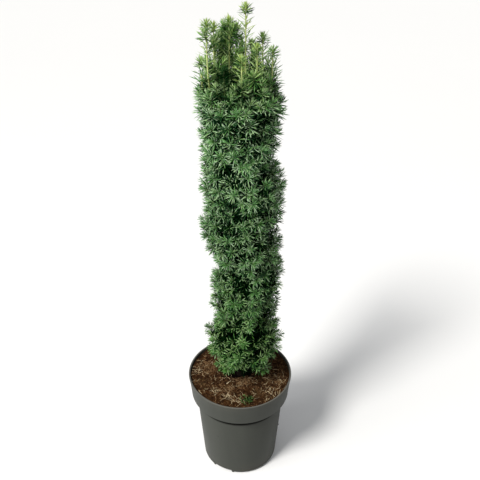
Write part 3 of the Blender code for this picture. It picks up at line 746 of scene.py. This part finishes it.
crown = {
    # height, left reach and right reach of the needle tips, in millimetres
    "rows": metres((
        (272, -52, 68), (350, -75, 92), (375, -76, 86), (395, -58, 80), (430, -56, 81), (480, -64, 80),
        (526, -57, 93), (567, -50, 86), (607, -75, 89), (660, -83, 76), (704, -71, 87), (750, -79, 92),
        (812, -73, 66), (846, -80, 79), (875, -76, 76), (930, -84, 86), (1000, -80, 70),
    )),
    "lumps": 0.05,
    # turn, foot and top of a tier's four masses, then the start over its foot and the run of their stems
    "tiers": turned(metres((
        (8, 272, 395, 35, 4), (-24, 395, 560, 35, 4), (17, 560, 700, 35, 4), (-12, 700, 812, 35, 4),
        (22, 812, 892, 4.5, 14),
    ), 1)),
    "stemEnd": (0.56, 0.82),  # a stem's end as shares of the reach and of the tier's height
    "stemGuide": (0.62, 0.42),
    "stemSteps": 9,
    "stemRadius": (0.0026, 0.0011),
}

trunk = {
    # height, lean to the side and radius
    "rows": (
        (0.2433, 0.004, 0.0125), (0.249, 0.004, 0.0098), (0.265, 0.005, 0.0076), (0.38, 0.011, 0.0068),
        (0.56, 0.013, 0.0058), (0.72, 0.010, 0.0048), (0.82, 0.006, 0.0040), (0.878, 0.006, 0.0026),
    ),
    "tip": 0.878,
    "ringStep": 0.004,
    "footRing": 0.002,
    "sides": 20,
    "relief": 0.0007,
    "grain": 90.0,
}

boughs = {
    "startZ": (0.822, 0.843),
    "root": 0.7,  # how far out in the trunk a limb begins
    "radius": (0.0019, 0.0017),
    "run": 0.003,
    "guideRise": 0.4,
    "guidePull": 0.45,
    "steps": 14,
    "sides": 10,
    "relief": 0.00016,
    "seat": radians(22),
}

sprays = {
    "seed": 41,
    "count": 164,
    "topZ": 0.940,
    "foot": 0.024,
    "middling": 0.019,
    "cup": 0.30,
    "setIn": 0.55,
    "lean": (radians(22), radians(52)),
    "turn": radians(-42),
    "scatter": 0.08,
    "ragged": 0.004,
    "proud": (0.16, 0.001, 0.004),  # how many finer sprays stand out of the column, and how far
    # azimuth and the height over the foot that the sprays begin at
    "footEdge": turned(metres(((-100, 0), (-60, 0), (-36, 4), (-18, 14), (-5, 26), (14, 26), (26, 2),
                               (48, 0), (70, 6), (100, 10), (140, 0)), 1)),
    # azimuth and height of sprays that hang lower
    "hanging": turned(metres(((40, 292), (51, 290), (63, 288), (-62, 300), (-50, 296), (-36, 300)), 1)),
    "hangingNod": (0, 0, -0.3),
    # dark ones at the trunk's foot, whose needles paint the shade under the crown: count, heights, how far
    # inside, nod and shade
    "innermost": (14, (0.258, 0.290), (0.030, 0.040), (0, 0, -0.6), 2.0),
    "sizes": ((0.30, 0.84), (0.55, 0.92), (0.70, 1.0), (0.95, 1.08)),  # height and needle size
    # finer sprays beside each spray of the solids: turn, style, rise, how far inside it at least and at most
    "finer": turned(metres((
        (115.5, "finer", 0, 0, 4), (-129, "finer", 1, 4, 11), (-64, "deep", 2, 12, 21),
        (52, "deep", -2, 16, 28), (-160, "deep", 1, 9, 17), (-98, "finer", 4, 5, 12),
        (160, "fill", 3, 3, 10), (-20, "fill", -3, 4, 11), (27, "fill", -4, 6, 12),
    ), 2)),
    "finerScatter": (0.1, 0.004),
    "nod": 0.12,  # how far a spray leans off its own direction
    "under": 0.020,  # how far inside the dark sprays under the foot's edge sit; their needles paint the shade there
    # shaded hollows in the column: azimuth, height, size and depth
    "hollows": turned(metres((
        (-18, 998, 13, 10), (-34, 902, 14, 10), (-20, 985, 14, 11), (-24, 908, 13, 9), (28, 916, 14, 10),
        (14, 866, 13, 10), (-32, 796, 19, 14), (-15, 800, 18, 14), (0, 794, 14, 10), (58, 792, 15, 10),
        (39, 790, 13, 8), (22, 782, 12, 8), (-26, 740, 17, 13), (-9, 716, 19, 16), (26, 720, 13, 9),
        (-26, 680, 14, 10), (64, 642, 22, 16), (-9, 616, 13, 10), (32, 632, 15, 10), (20, 577, 16, 16),
        (-32, 564, 19, 14), (46, 540, 19, 14), (86, 522, 17, 10), (-8, 533, 24, 28), (40, 498, 17, 13),
        (-60, 480, 17, 11), (44, 436, 27, 24), (36, 394, 30, 24), (-20, 426, 22, 20), (-42, 397, 24, 20),
        (9, 348, 18, 13), (118, 860, 15, 9), (150, 700, 21, 12), (-125, 780, 15, 9), (-150, 560, 23, 15),
        (175, 460, 20, 13), (-90, 600, 18, 11), (105, 640, 18, 10), (-175, 880, 16, 9), (140, 560, 20, 13),
        (-110, 420, 20, 13), (-150, 690, 16, 10), (160, 800, 13, 8), (130, 400, 20, 13), (-160, 360, 20, 13),
    ), 1)),
    "hollowEdge": 1.35,
}


def crownMiddle(z):
    left, right = readRow(crown["rows"], z)
    return (left + right) / 2


def crownReach(azimuth, z):
    left, right = readRow(crown["rows"], z)
    swell = sin(3 * azimuth + 25 * z) * cos(azimuth) ** 2
    return (right - left) / 2 * (1 + crown["lumps"] * swell)


def onCrown(azimuth, reach, z, middleZ=None):
    return polar(azimuth, reach, z, crownMiddle(z if middleZ is None else middleZ))


def trunkAt(z):
    lean, radius = readRow(trunk["rows"], z)
    return Vector((lean, 0.0, z)), radius


def leaveTrunk(azimuth, z, run):
    middle, radius = trunkAt(z)
    outward = polar(azimuth, 1.0, 0.0)
    return middle + outward * (radius * boughs["root"]), middle + outward * (radius + gap + run)


# A ring drawn along a line of points, closed at both ends, with bark relief
def limb(shape, line, radii, bark):
    run = (line[1] - line[0]).normalized()
    turn = run.to_track_quat("Z", "Y").to_matrix().to_4x4()
    everything, edges = startRing(shape, bark["sides"], radii[0], Matrix.Translation(line[0]) @ turn)
    for index in range(1, len(line)):
        ahead = (line[min(index + 1, len(line) - 1)] - line[index - 1]).normalized()
        ring, edges = drawRing(shape, edges)
        swing = run.rotation_difference(ahead).to_matrix().to_4x4()
        step = (Matrix.Translation(line[index]) @ swing @ Matrix.Scale(radii[index] / radii[index - 1], 4)
                @ Matrix.Translation(-line[index - 1]))
        ops.transform(shape, matrix=step, verts=ring)
        run = ahead
        everything = everything + ring
    ops.edgeloop_fill(shape, edges=edges)
    shape.normal_update()
    for corner in everything:
        stretched = Vector((corner.co.x * 4, corner.co.y * 4, corner.co.z)) * trunk["grain"]
        corner.co += corner.normal * bark["relief"] * noise.fractal(stretched, 1.0, 2.0, 3)


def barkSkin():
    recipe = Recipe("yew_bark")
    plates = recipe.clouds(160.0, 5.0, 0.65, recipe.stretched(1.0, 1.0, 0.22))
    cracks = recipe.node("ShaderNodeTexVoronoi", {}, {"Vector": recipe.stretched(1.0, 1.0, 0.2), "Scale": 330.0})
    colour = recipe.fade(plates, 0.35, 0.65, (0.018, 0.009, 0.005), (0.060, 0.032, 0.018))
    colour = recipe.fade(cracks, 0.0, 0.35, (0.010, 0.005, 0.003), colour)
    # painted shade: the bark turns near black towards the trunk's foot under the crown
    colour = recipe.fade(recipe.along("Z"), 0.262, 0.300, (0.006, 0.003, 0.002), colour)
    skin = recipe.raised(plates * 0.8 + cracks * 0.5, 0.0012, 0.9)
    return recipe.finish(colour, 0.78 + plates * 0.18, skin, 0.1)


# Leading shoots

leaders = {
    # side shoots, how far up they go, tones, and the place of the tip in millimetres, as in the solids
    "rows": metres((
        (9, 0.62, "bright", 10, 0, 1104), (31, 0.97, "bright", -19, 10, 1076),
        (6, 0.97, "bright", -58, -20, 1081), (12, 0.92, "bright", -47, 16, 1064),
        (30, 0.90, "shaded", -34, 48, 1040), (22, 0.92, "shaded", -6, 42, 1053),
        (20, 0.90, "shaded", 21, 53, 1018), (14, 0.74, "plain", 41, 22, 1042),
        (12, 0.70, "plain", 58, -6, 1028), (10, 0.60, "bright", 30, -32, 1042),
        (12, 0.70, "bright", 3, -48, 1028), (9, 0.60, "hidden", -28, -46, 1006),
        (5, 0.55, "plain", -70, 4, 1004),
    ), 3),
    "root": 0.004,  # how far down in the trunk the centre one begins
    "baseZ": 0.890,
    "baseRadius": (0.016, 0.027),
    "stem": (0.00225, 0.00108),
    "run": 0.003,
    "guideRise": 0.03,
    "upright": 1.2,  # how fast a stem comes under its tip
    "bud": 0.0048,  # how far under the needles' tip a stem ends
    "steps": 26,
    "bareFoot": 0.002,
    "spacing": 0.0019,  # along the stem from needle to needle
    # needle kinds of the stem, its tuft and its side shoots, with the shares in percent where they change; the
    # shaded and hidden leaders get darker kinds as painted shade
    "tones": {
        "bright": ("deep 15 mid 50 fresh 95 young", "deep 20 mid 50 fresh 80 young", "deep 25 mid 70 fresh"),
        "plain": ("deep 15 mid 80 fresh", "deep 20 mid 60 fresh", "deep 25 mid 70 fresh"),
        "shaded": ("deep 35 mid 80 fresh", "mid 40 fresh", "old 10 deep 50 mid"),
        "hidden": ("old 70 deep", "old 50 deep", "old 10 deep 50 mid"),
    },
    "sideStart": 0.05,
    "sideLength": (0.026, 0.052),
    "sideLean": (0.42, 0.62),
    "sideUnder": 0.014,
    "sideInside": 0.010,
    "sideBow": 0.10,
}


def planLeaders():
    plans = [{"bush": bush, "tip": Vector(tip), "azimuth": atan2(tip[0], -tip[1])}
             for *bush, x, y, z in leaders["rows"] for tip in [(x, y, z)]]
    centre, ring = plans[0], sorted(plans[1:], key=lambda plan: plan["azimuth"])
    top, _ = trunkAt(trunk["tip"])
    centre["run"] = Vector((0, 0, 1))
    centre["base"] = top - Vector((0, 0, leaders["root"]))
    seat = tau / len(ring)
    first = boughs["seat"] + seat / 2
    first += round((ring[0]["azimuth"] - first) / seat) * seat
    for index, plan in enumerate(ring):
        azimuth = first + seat * index
        start, knee = leaveTrunk(azimuth, boughs["startZ"][index % 2], boughs["run"])
        end = top + polar(azimuth, leaders["baseRadius"][1 - index % 2], leaders["baseZ"] - trunk["tip"])
        guide = Vector((end.x, end.y, between(knee.z, end.z, boughs["guideRise"])))
        guide = guide.lerp(knee, boughs["guidePull"])
        plan["bough"] = [start] + bend(knee, guide, end, boughs["steps"])
        plan["run"] = (end - guide).normalized()
        plan["base"] = end
    for plan in plans:
        end = plan["tip"] - Vector((0, 0, leaders["bud"]))
        knee = plan["base"] + plan["run"] * leaders["run"]
        guide = Vector((end.x, end.y, between(knee.z, end.z, leaders["guideRise"])))
        plan["line"] = [plan["base"]] + bend(knee, guide, end, leaders["steps"] - 2)
        for index, point in enumerate(plan["line"]):
            pull = min(1.0, leaders["upright"] * index / leaders["steps"])
            point.x, point.y = between(point.x, end.x, pull), between(point.y, end.y, pull)
    return plans


# The sprays of the solids, and finer ones beside each, on the same spiral
def planSprays():
    chance = random.Random(sprays["seed"])
    finer = random.Random(sprays["seed"] + 1)
    aside, upward = sprays["finerScatter"]
    foot = crown["tiers"][0][1] + sprays["foot"]
    plans = []
    for index in range(sprays["count"]):
        share = (index + 0.5) / sprays["count"]
        z = between(foot, sprays["topZ"], share)
        azimuth = sprays["turn"] + index * golden + chance.uniform(-sprays["scatter"], sprays["scatter"])
        setBack = chance.uniform(0, sprays["ragged"])
        chance.uniform(0, tau)  # the spray's own turn in the solids
        group = [("rosette", azimuth, z, setBack)]
        for turn, style, rise, *inside in sprays["finer"]:
            beside = azimuth + turn + finer.uniform(-aside, aside)
            height = z + rise + finer.uniform(-upward, upward)
            sunk = finer.uniform(*inside)
            isProud = finer.random() < sprays["proud"][0]
            if style == "finer" and isProud:
                sunk = -finer.uniform(*sprays["proud"][1:])
            group.append((style, beside, height, sunk))
        for style, beside, height, sunk in group:
            nod = Vector([finer.gauss(0.0, sprays["nod"]) for _ in range(3)])
            # sprays under the foot's edge are sunk and turned dark, a painted shade
            if height <= foot + readRow(sprays["footEdge"], wrapped(beside))[0]:
                style, sunk = "deep", sunk + sprays["under"]
            plans.append(placeSpray(style, beside, height, share, sunk, nod))
    for azimuth, z in sprays["hanging"]:
        plans.append(placeSpray("rosette", azimuth, z, 0.0, 0.0, Vector(sprays["hangingNod"])))
    # dark sprays at the trunk's foot, a painted shade under the crown
    count, heights, inside, nod, shade = sprays["innermost"]
    for index in range(count):
        z = between(*heights, (index + 0.5) / count)
        plans.append(placeSpray("deep", index * golden, z, 0.0, finer.uniform(*inside), Vector(nod)))
        plans[-1]["shade"] = shade
    return plans


# How deep a place of the column lies in a shaded hollow, as a share and in metres
def hollowAt(azimuth, z):
    best = (0.0, 0.0)
    for middle, height, size, depth in sprays["hollows"]:
        away = hypot(wrapped(azimuth - middle) * crownReach(azimuth, z), z - height) / size
        if away < sprays["hollowEdge"]:
            best = max(best, (1.0 - (away / sprays["hollowEdge"]) ** 2, depth))
    return best[0], best[0] * best[1]


def placeSpray(style, azimuth, z, share, setBack, nod):
    shade, sunk = hollowAt(azimuth, z)
    setBack += sunk
    lean = between(*sprays["lean"], share ** 2)
    proud = sprays["middling"] * (sin(lean) + sprays["cup"] * cos(lean))
    radius = crownReach(azimuth, z) - proud * sprays["setIn"] - setBack
    tier = max((index for index, row in enumerate(crown["tiers"]) if z >= row[1]), default=0)
    side = round((azimuth - crown["tiers"][tier][0]) / (pi / 2)) % 4
    return {
        "style": style,
        "middle": onCrown(azimuth, radius, z),
        "axis": (polar(azimuth, cos(lean), sin(lean)) + nod).normalized(),
        "shade": shade,
        "sunk": setBack,
        "mass": (tier, side),
    }


# A main stem in each mass, from the trunk outwards, which its twigs grow from
def planStems():
    stems = {}
    for tier, (turn, foot, top, rise, run) in enumerate(crown["tiers"]):
        for side in range(4):
            azimuth = turn + side * pi / 2
            start, knee = leaveTrunk(azimuth, foot + rise, run)
            points = []
            reach = crownReach(azimuth, top)
            for out, up in (crown["stemEnd"], crown["stemGuide"]):
                reach *= out
                points.append(onCrown(azimuth, reach, between(foot, top, up), top))
            stems[(tier, side)] = [start] + bend(knee, points[1], points[0], crown["stemSteps"])
    return stems


# Needles

needle = {
    "thickness": 0.0007,
    "curl": (-0.10, 0.08),  # bend towards the shoot's tip, as a share of the length
    "jitter": 0.085,
    "stray": 0.6,  # how much of the jitter goes sideways
    "lengths": (0.86, 1.12),
    "widths": (0.88, 1.12),
    "slim": (0.20, 0.022),  # short needles are slimmer
    "roll": 0.35,
    "crowding": 0.9,  # under 1 the needles stand closer towards the tip
    "closing": 1.7,
    "shorter": 0.42,  # how much shorter they are at the tip
    "overSoil": 0.002,
}

# Needle length, count, length they cover, spread at its foot and at its tip, rise, width, mingling of the tones.
# A leader's needles cover its whole stem at one spacing.
styles = {
    "rosette": (0.0205, 38, 0.018, 1.58, 0.20, 0.04, 0.0021, 0.4),
    "finer": (0.0195, 30, 0.018, 1.60, 0.25, 0.04, 0.0021, 0.4),
    "deep": (0.0185, 26, 0.030, 1.50, 0.45, 0.08, 0.0030, 0.5),
    "inner": (0.0185, 20, 0.036, 1.40, 0.85, 0.15, 0.0040, 0.5),
    "leader": (0.0270, 0, 0.0, 1.18, 0.88, 0.02, 0.0021, 0.2),
    "tuft": (0.0162, 50, 0.012, 1.50, 0.10, 0.0, 0.0021, 0.25),
    "side": (0.0190, 28, 0.034, 1.10, 0.25, 0.08, 0.0021, 0.5),
    "sprig": (0.0080, 9, 0.012, 0.85, 0.20, 0.30, 0.0014, 0.5),
    "fill": (0.0155, 20, 0.020, 1.60, 0.40, 0.05, 0.0021, 0.5),
}

# Needle kinds: two close tones, roughness, gloss and slot. The darkest and deep kinds paint shade, and the fresh
# kind's pale grey-green is partly painted sheen.
kinds = {
    "old": ((0.0008, 0.010, 0.0012), (0.002, 0.020, 0.0035), 0.50, 0.02, "foliage"),
    "deep": ((0.009, 0.050, 0.008), (0.016, 0.068, 0.020), 0.36, 0.12, "foliage"),
    "mid": ((0.080, 0.238, 0.034), (0.106, 0.275, 0.076), 0.25, 0.60, "foliage"),
    "fresh": ((0.238, 0.440, 0.120), (0.332, 0.518, 0.256), 0.25, 0.80, "foliage"),
    "young": ((0.290, 0.445, 0.100), (0.370, 0.530, 0.140), 0.36, 0.40, "young_foliage"),
}


# A flat blade with a ridge, pointed at both ends: along runs from 0 at its foot to 1 at its tip
def needleTemplate():
    shape = bmesh.new()
    ops.create_cone(shape, cap_ends=True, segments=3, radius1=1.0, radius2=1.0, depth=1.0)
    caps = [face for face in shape.faces if len(face.verts) == 3]
    for corner in shape.verts:
        isRidge = corner.co.y > 0.5
        isTop = corner.co.z > 0
        corner.co.x = 0.0 if isRidge else copysign(0.5 if isTop else 0.42, corner.co.x)
        corner.co.y = 0.5 if isRidge else -0.25
        corner.co.z = 0.70 if isTop else 0.14
    for face in caps:
        isTip = face.calc_center_median().z > 0.5
        tip = ops.poke(shape, faces=[face])["verts"][0]
        tip.co = (0.0, 0.0, 1.0 if isTip else 0.0)
    return templateFrom(shape)


# Gathers the needles of all shoots by kind, as arrays
needleBins = {kind: [] for kind in kinds}


# Points and runs at given lengths along a line
def readLine(line, lengths):
    line = np.array(rowsOf(line))
    total = np.concatenate(([0.0], np.cumsum(np.linalg.norm(np.diff(line, axis=0), axis=1))))

    def at(where):
        return np.column_stack([np.interp(where, total, line[:, axis]) for axis in range(3)])

    return at(lengths), unit(at(lengths + 0.001) - at(lengths - 0.001))


def swung(angle, first, second):
    return np.cos(angle)[:, None] * first + np.sin(angle)[:, None] * second


# Needles spiralled round the covered end of a shoot, spread wide at its foot and closing at its tip.
# The tones are kinds with the shares in percent of the covered end where they change.
def leafShoot(line, style, tones, picker, size=1.0):
    length, count, covered, wide, narrow, rise, width, mingling = styles[style]
    total = lineLength(line)
    foot = max(0.0, total - covered) if covered else leaders["bareFoot"]
    count = count or round(total / leaders["spacing"])
    share = (np.arange(count) + 0.5) / count
    places, runs = readLine(line, foot + (total - foot) * share ** needle["crowding"])
    spread = wide + (narrow - wide) * share ** needle["closing"]
    spread = spread + picker.normal(0.0, needle["jitter"], count)
    angle = picker.uniform(0, tau) + np.arange(count) * golden
    spare = np.array([0.0, 0.0, 1.0]) if abs(runs[-1][2]) < steep else np.array([1.0, 0.0, 0.0])
    across = unit(np.cross(runs, spare))
    along = swung(spread, runs, swung(angle, across, np.cross(runs, across)))
    along[:, 2] += rise * np.sin(spread)
    along += picker.normal(0.0, needle["jitter"] * needle["stray"], (count, 3))
    along = unit(along)
    reach = length * size * (1.0 - needle["shorter"] * share ** 3) * picker.uniform(*needle["lengths"], count)
    up = unit(runs - along * np.sum(runs * along, axis=1)[:, None], 1e-9)
    roll = picker.normal(0.0, needle["roll"], count)
    across = np.cross(up, along)
    up, across = swung(roll, up, across), swung(roll, across, -up)
    least, full = needle["slim"]
    width = width * picker.uniform(*needle["widths"], count) * np.minimum(1.0, least + reach / full)
    axes = np.stack((across * width[:, None], up * needle["thickness"], along * reach[:, None]), axis=1)
    curl = reach * picker.uniform(*needle["curl"], count)
    floorZ = -inf if style == "sprig" else soil["z"] + needle["overSoil"]
    kept = (places + along * reach[:, None])[:, 2] > floorZ
    level = share + picker.normal(0.0, mingling, count)
    words = tones.split()
    ends = [-inf] + [int(word) / 100 for word in words[1::2]] + [inf]
    for kind, begun, ended in zip(words[::2], ends, ends[1:]):
        chosen = kept & (level >= begun) & (level < ended)
        if chosen.any():
            needleBins[kind].append((places[chosen], axes[chosen], curl[chosen]))


def needleSkin(kind):
    first, second, rough, gloss, _ = kinds[kind]
    recipe = Recipe(kind + "_needles")
    fine = recipe.clouds(1400.0, 2.0)
    colour = recipe.fade(recipe.clouds(120.0, 2.0), 0.35, 0.65, first, second)
    height = recipe.along("Z")
    # tint by height: darker and yellower at the foot, lighter and bluer higher up as painted light and sheen,
    # yellower at the top
    tint = recipe.fade(height, 0.36, 0.58, (0.74, 0.77, 0.60), (0.85, 0.82, 0.96))
    tint = recipe.fade(height, 0.70, 0.82, tint, (1.22, 1.10, 1.44))
    tint = recipe.fade(height, 0.92, 1.0, tint, (1.17, 1.06, 0.83))
    colour = recipe.node("ShaderNodeVectorMath", {"operation": "MULTIPLY"}, {0: colour, 1: tint})
    return recipe.finish(colour, rough + fine * 0.12, recipe.raised(fine, 0.0001, 0.4), gloss)


def stemSkin(name, first, second, rough, bright=None):
    recipe = Recipe(name)
    ribs = recipe.clouds(500.0, 2.0, 0.5, recipe.stretched(1.0, 1.0, 0.25))
    colour = recipe.fade(recipe.clouds(70.0, 3.0), 0.3, 0.7, first, second)
    if bright:
        colour = recipe.fade(recipe.along("Z"), *bright, (0.07, 0.10, 0.025), colour)
    return recipe.finish(colour, rough + ribs * 0.15, recipe.raised(ribs, 0.0004, 0.8), 0.4)


# The whole plant: twigs and needles on the stems, sprays and leaders

twig = {
    "steps": 9,
    "sizes": (0.9, 1.1),
    "out": 0.0045,  # how far its tip stands out of the spray's middle
    "drop": 0.028,  # how far under its tip it would leave the stem
    "dropPull": 0.5,
    "guide": 0.55,
    "litInside": 0.004,  # finer sprays deeper than this lie in the shade
    # vigour at the foot and the top of the crown, then the foot's height and the top's height over it
    "vigour": ((-0.15, 0.65), (0.27, 0.67)),
    "inner": 7,  # points that carry dark needles inside the crown
    "brown": 6,  # points of the woody part, and the point that the green part begins at
    "green": 4,
    "brownRadius": (0.0011, 0.0008),
    "greenRadius": (0.0009, 0.0005),
    "sideRadius": (0.0011, 0.0006),
}


# Each spray's tones follow how much light reaches it, as painted light and shade: darker kinds in hollows,
# inside the crown and under its foot, paler ones on lit sprays
def sprayTones(plan, vigour):
    shade = plan["shade"]
    isLit = plan["style"] == "rosette" or plan["style"] == "finer" and plan["sunk"] < twig["litInside"]
    if shade > 1.0:
        return "old"
    if shade > 0.75:
        return "old 80 deep 100 mid"
    if plan["style"] == "deep" or shade > 0.5:
        return "old 65 deep 90 fresh"
    if not isLit:
        return "old 42 deep 68 mid 95 fresh" if shade > 0.2 or vigour < 0.3 else "old 38 deep 50 mid 80 fresh"
    if shade > 0.2:
        return "old 25 fresh 40 deep 75 mid"
    return "old 16 fresh 45 deep 70 mid" if vigour < 0.35 else "old 6 fresh 52 deep 66 mid"


def growColumn(stems, picker):
    brown = []
    green = []
    vigours, (foot, height) = twig["vigour"]
    for plan in planSprays():
        size = readRow(sprays["sizes"], plan["middle"].z)[0] * picker.uniform(*twig["sizes"])
        tip = plan["middle"] + plan["axis"] * twig["out"]
        low = tip.z - twig["drop"]
        seat = min(stems[plan["mass"]][2:],
                   key=lambda point: (point - tip).length + abs(point.z - low) * twig["dropPull"])
        outward = tip - plan["axis"] * (seat - tip).length * twig["guide"]
        line = bend(seat, outward, tip, twig["steps"])
        vigour = picker.random() + between(*vigours, (tip.z - foot) / height)
        leafShoot(line, plan["style"], sprayTones(plan, vigour), picker, size)
        if plan["style"] != "fill":
            # needles inside the crown are all of the darkest kind, a painted shade
            leafShoot(line[:twig["inner"]], "inner", "old", picker, size)
        brown.append(line[:twig["brown"]])
        green.append(line[twig["green"]:])
    return brown, green


def growLeaders(plans, picker):
    sides = []
    for plan in plans:
        line = plan["line"]
        count, end, tone = plan["bush"]
        stemTones, tuftTones, sideTones = leaders["tones"][tone]
        leafShoot(line, "leader", stemTones, picker)
        leafShoot(line, "tuft", tuftTones, picker)
        for index in range(count):
            share = between(leaders["sideStart"], end, (index + picker.random()) / count)
            seat = line[min(len(line) - 3, int(share * len(line)))]
            azimuth = plan["azimuth"] + picker.uniform(-pi, pi)
            length = picker.uniform(*leaders["sideLength"])
            lean = picker.uniform(*leaders["sideLean"])
            tip = seat + polar(azimuth, length * sin(lean), length * cos(lean))
            tip.z = min(tip.z, plan["tip"].z - leaders["sideUnder"])
            limit = crownReach(azimuth, tip.z) - leaders["sideInside"]
            flat = Vector((tip.x - crownMiddle(tip.z), tip.y))
            if flat.length > limit:
                flat *= limit / flat.length
                tip.x, tip.y = flat.x + crownMiddle(tip.z), flat.y
            guide = seat.lerp(tip, 0.5) + polar(azimuth, length * leaders["sideBow"], 0.0)
            side = bend(seat, guide, tip, twig["steps"])
            leafShoot(side, "side", sideTones, picker)
            sides.append(side)
        # a hidden leader's stem goes with the darker green twigs, a painted shade like its needles
        if tone == "hidden":
            places, _ = readLine(line, np.linspace(0.0, lineLength(line), twig["steps"] + 1))
            sides.append(places)
    return sides


# Sprays on the leaders' feet that close the column's top towards its outline

skirt = {
    "count": 30,
    "heights": (0.925, 0.995),
    "reach": (0.66, 0.86),
    "seats": slice(2, 18),  # the points of a leader that they grow from
    "drop": 0.032,
    "dropPull": 1.5,
    "guide": (0.55, 0.006, -0.004),  # its share of the way, then out and up
    "size": 0.98,
    "shady": 0.4,
}


def growSkirt(plans, picker):
    count = skirt["count"]
    share, out, up = skirt["guide"]
    points = [point for plan in plans for point in plan["line"][skirt["seats"]]]
    grown = []
    for index in range(count):
        azimuth = index * golden
        z = between(*skirt["heights"], (index + 0.5) / count)
        shade, sunk = hollowAt(azimuth, z)
        tip = onCrown(azimuth, crownReach(azimuth, z) * between(*skirt["reach"], picker.random()) - sunk, z)
        seat = min(points, key=lambda point: (point - tip).length
                   + abs(point.z - tip.z + skirt["drop"]) * skirt["dropPull"])
        outward = seat.lerp(tip, share) + polar(azimuth, out, up)
        line = bend(seat, outward, tip, twig["steps"])
        # skirt sprays in a hollow get dark needles, and all get dark inner needles, as painted shade
        tones = "old 50 deep" if shade > skirt["shady"] else "deep 15 mid 60 fresh"
        leafShoot(line, "rosette", tones, picker, skirt["size"])
        leafShoot(line[:twig["inner"]], "inner", "old", picker)
        grown.append(line)
    return grown


# Small green sprigs near the rim, flat on the compost
def growSprigs(picker):
    limit = soil["radius"] - litter["sprigEdge"]
    turn = litter["sprigTurn"]
    seat, lift, bow = litter["sprigLift"]
    grown = []
    for (x, y), count in litter["sprigs"]:
        foot = Vector((x, y, soilHeight(x, y) + seat))
        for index in range(count):
            azimuth = tau * (index + picker.uniform(-turn, turn)) / count
            length = picker.uniform(*litter["sprigLength"])
            tip = foot + polar(azimuth, length, lift + length * picker.uniform(*litter["sprigRise"]))
            tip.x, tip.y = heldIn(tip.x, tip.y, limit)
            line = bend(foot, foot.lerp(tip, 0.5) + Vector((0, 0, bow)), tip, twig["steps"])
            leafShoot(line, "sprig", "old 50 deep 90 mid", picker)
            grown.append(line)
    return grown


# The trunk, the boughs and the stems of the masses are one mesh
def makeLimbs(plans, stems):
    shape = bmesh.new()
    first, last = trunk["rows"][0][0], trunk["tip"]
    steps = round((last - first) / trunk["ringStep"])
    rings = [first, first + trunk["footRing"]]
    rings += [between(first, last, index / steps) for index in range(1, steps + 1)]
    limb(shape, [trunkAt(z)[0] for z in rings], [trunkAt(z)[1] for z in rings], trunk)
    for line in (plan["bough"] for plan in plans[1:]):
        limb(shape, line, tapered(*boughs["radius"], len(line)), boughs)
    for line in stems.values():
        limb(shape, line, tapered(*crown["stemRadius"], len(line)), boughs)
    faceOut(shape)
    mesh = meshFrom(shape, "bark_limbs")
    mesh.shade_smooth()
    addPiece("bark_limbs", mesh, barkSkin(), ["trunk"] + nodesOf("bough_"))


def makePlant():
    picker = np.random.default_rng(sprays["seed"])
    plans = planLeaders()
    stems = planStems()
    makeLimbs(plans, stems)
    print("limbs done")

    brown, green = growColumn(stems, picker)
    sides = growLeaders(plans, picker) + growSkirt(plans, picker) + growSprigs(picker)
    seen = [plan["line"] for plan in plans if "hidden" not in plan["bush"]]
    addTubes("brown_twigs", [(brown, twig["brownRadius"])], 3,
             stemSkin("brown_twig_skin", (0.07, 0.04, 0.02), (0.12, 0.075, 0.035), 0.6))
    addTubes("green_twigs", [(green, twig["greenRadius"]), (sides, twig["sideRadius"])], 4,
             stemSkin("green_twig_skin", (0.06, 0.10, 0.02), (0.10, 0.15, 0.035), 0.5), nodesOf("foliage_"))
    stemTint = stemSkin("leader_stem_skin", (0.42, 0.50, 0.15), (0.58, 0.64, 0.27), 0.45, (0.90, 0.955))
    addTubes("leader_stems", [(seen, leaders["stem"])], 8, stemTint, nodesOf("shoot_"))
    print("twigs done")

    template = needleTemplate()
    total = 0
    for kind, batches in needleBins.items():
        origins, axes, curl = (np.concatenate([batch[column] for batch in batches]) for column in range(3))
        total += len(origins)
        addCopies(kind + "_needles", template, origins, axes, curl, needleSkin(kind))
    print("needles done:", total)


setCamera()
setStudio()
makePot()
print("pot done")
makeSoil()
litterChance = random.Random(litter["seed"])
makeCrumbs(litterChance, np.random.default_rng(litter["seed"]))
makeFibres(litterChance)
print("compost done")
makePlant()
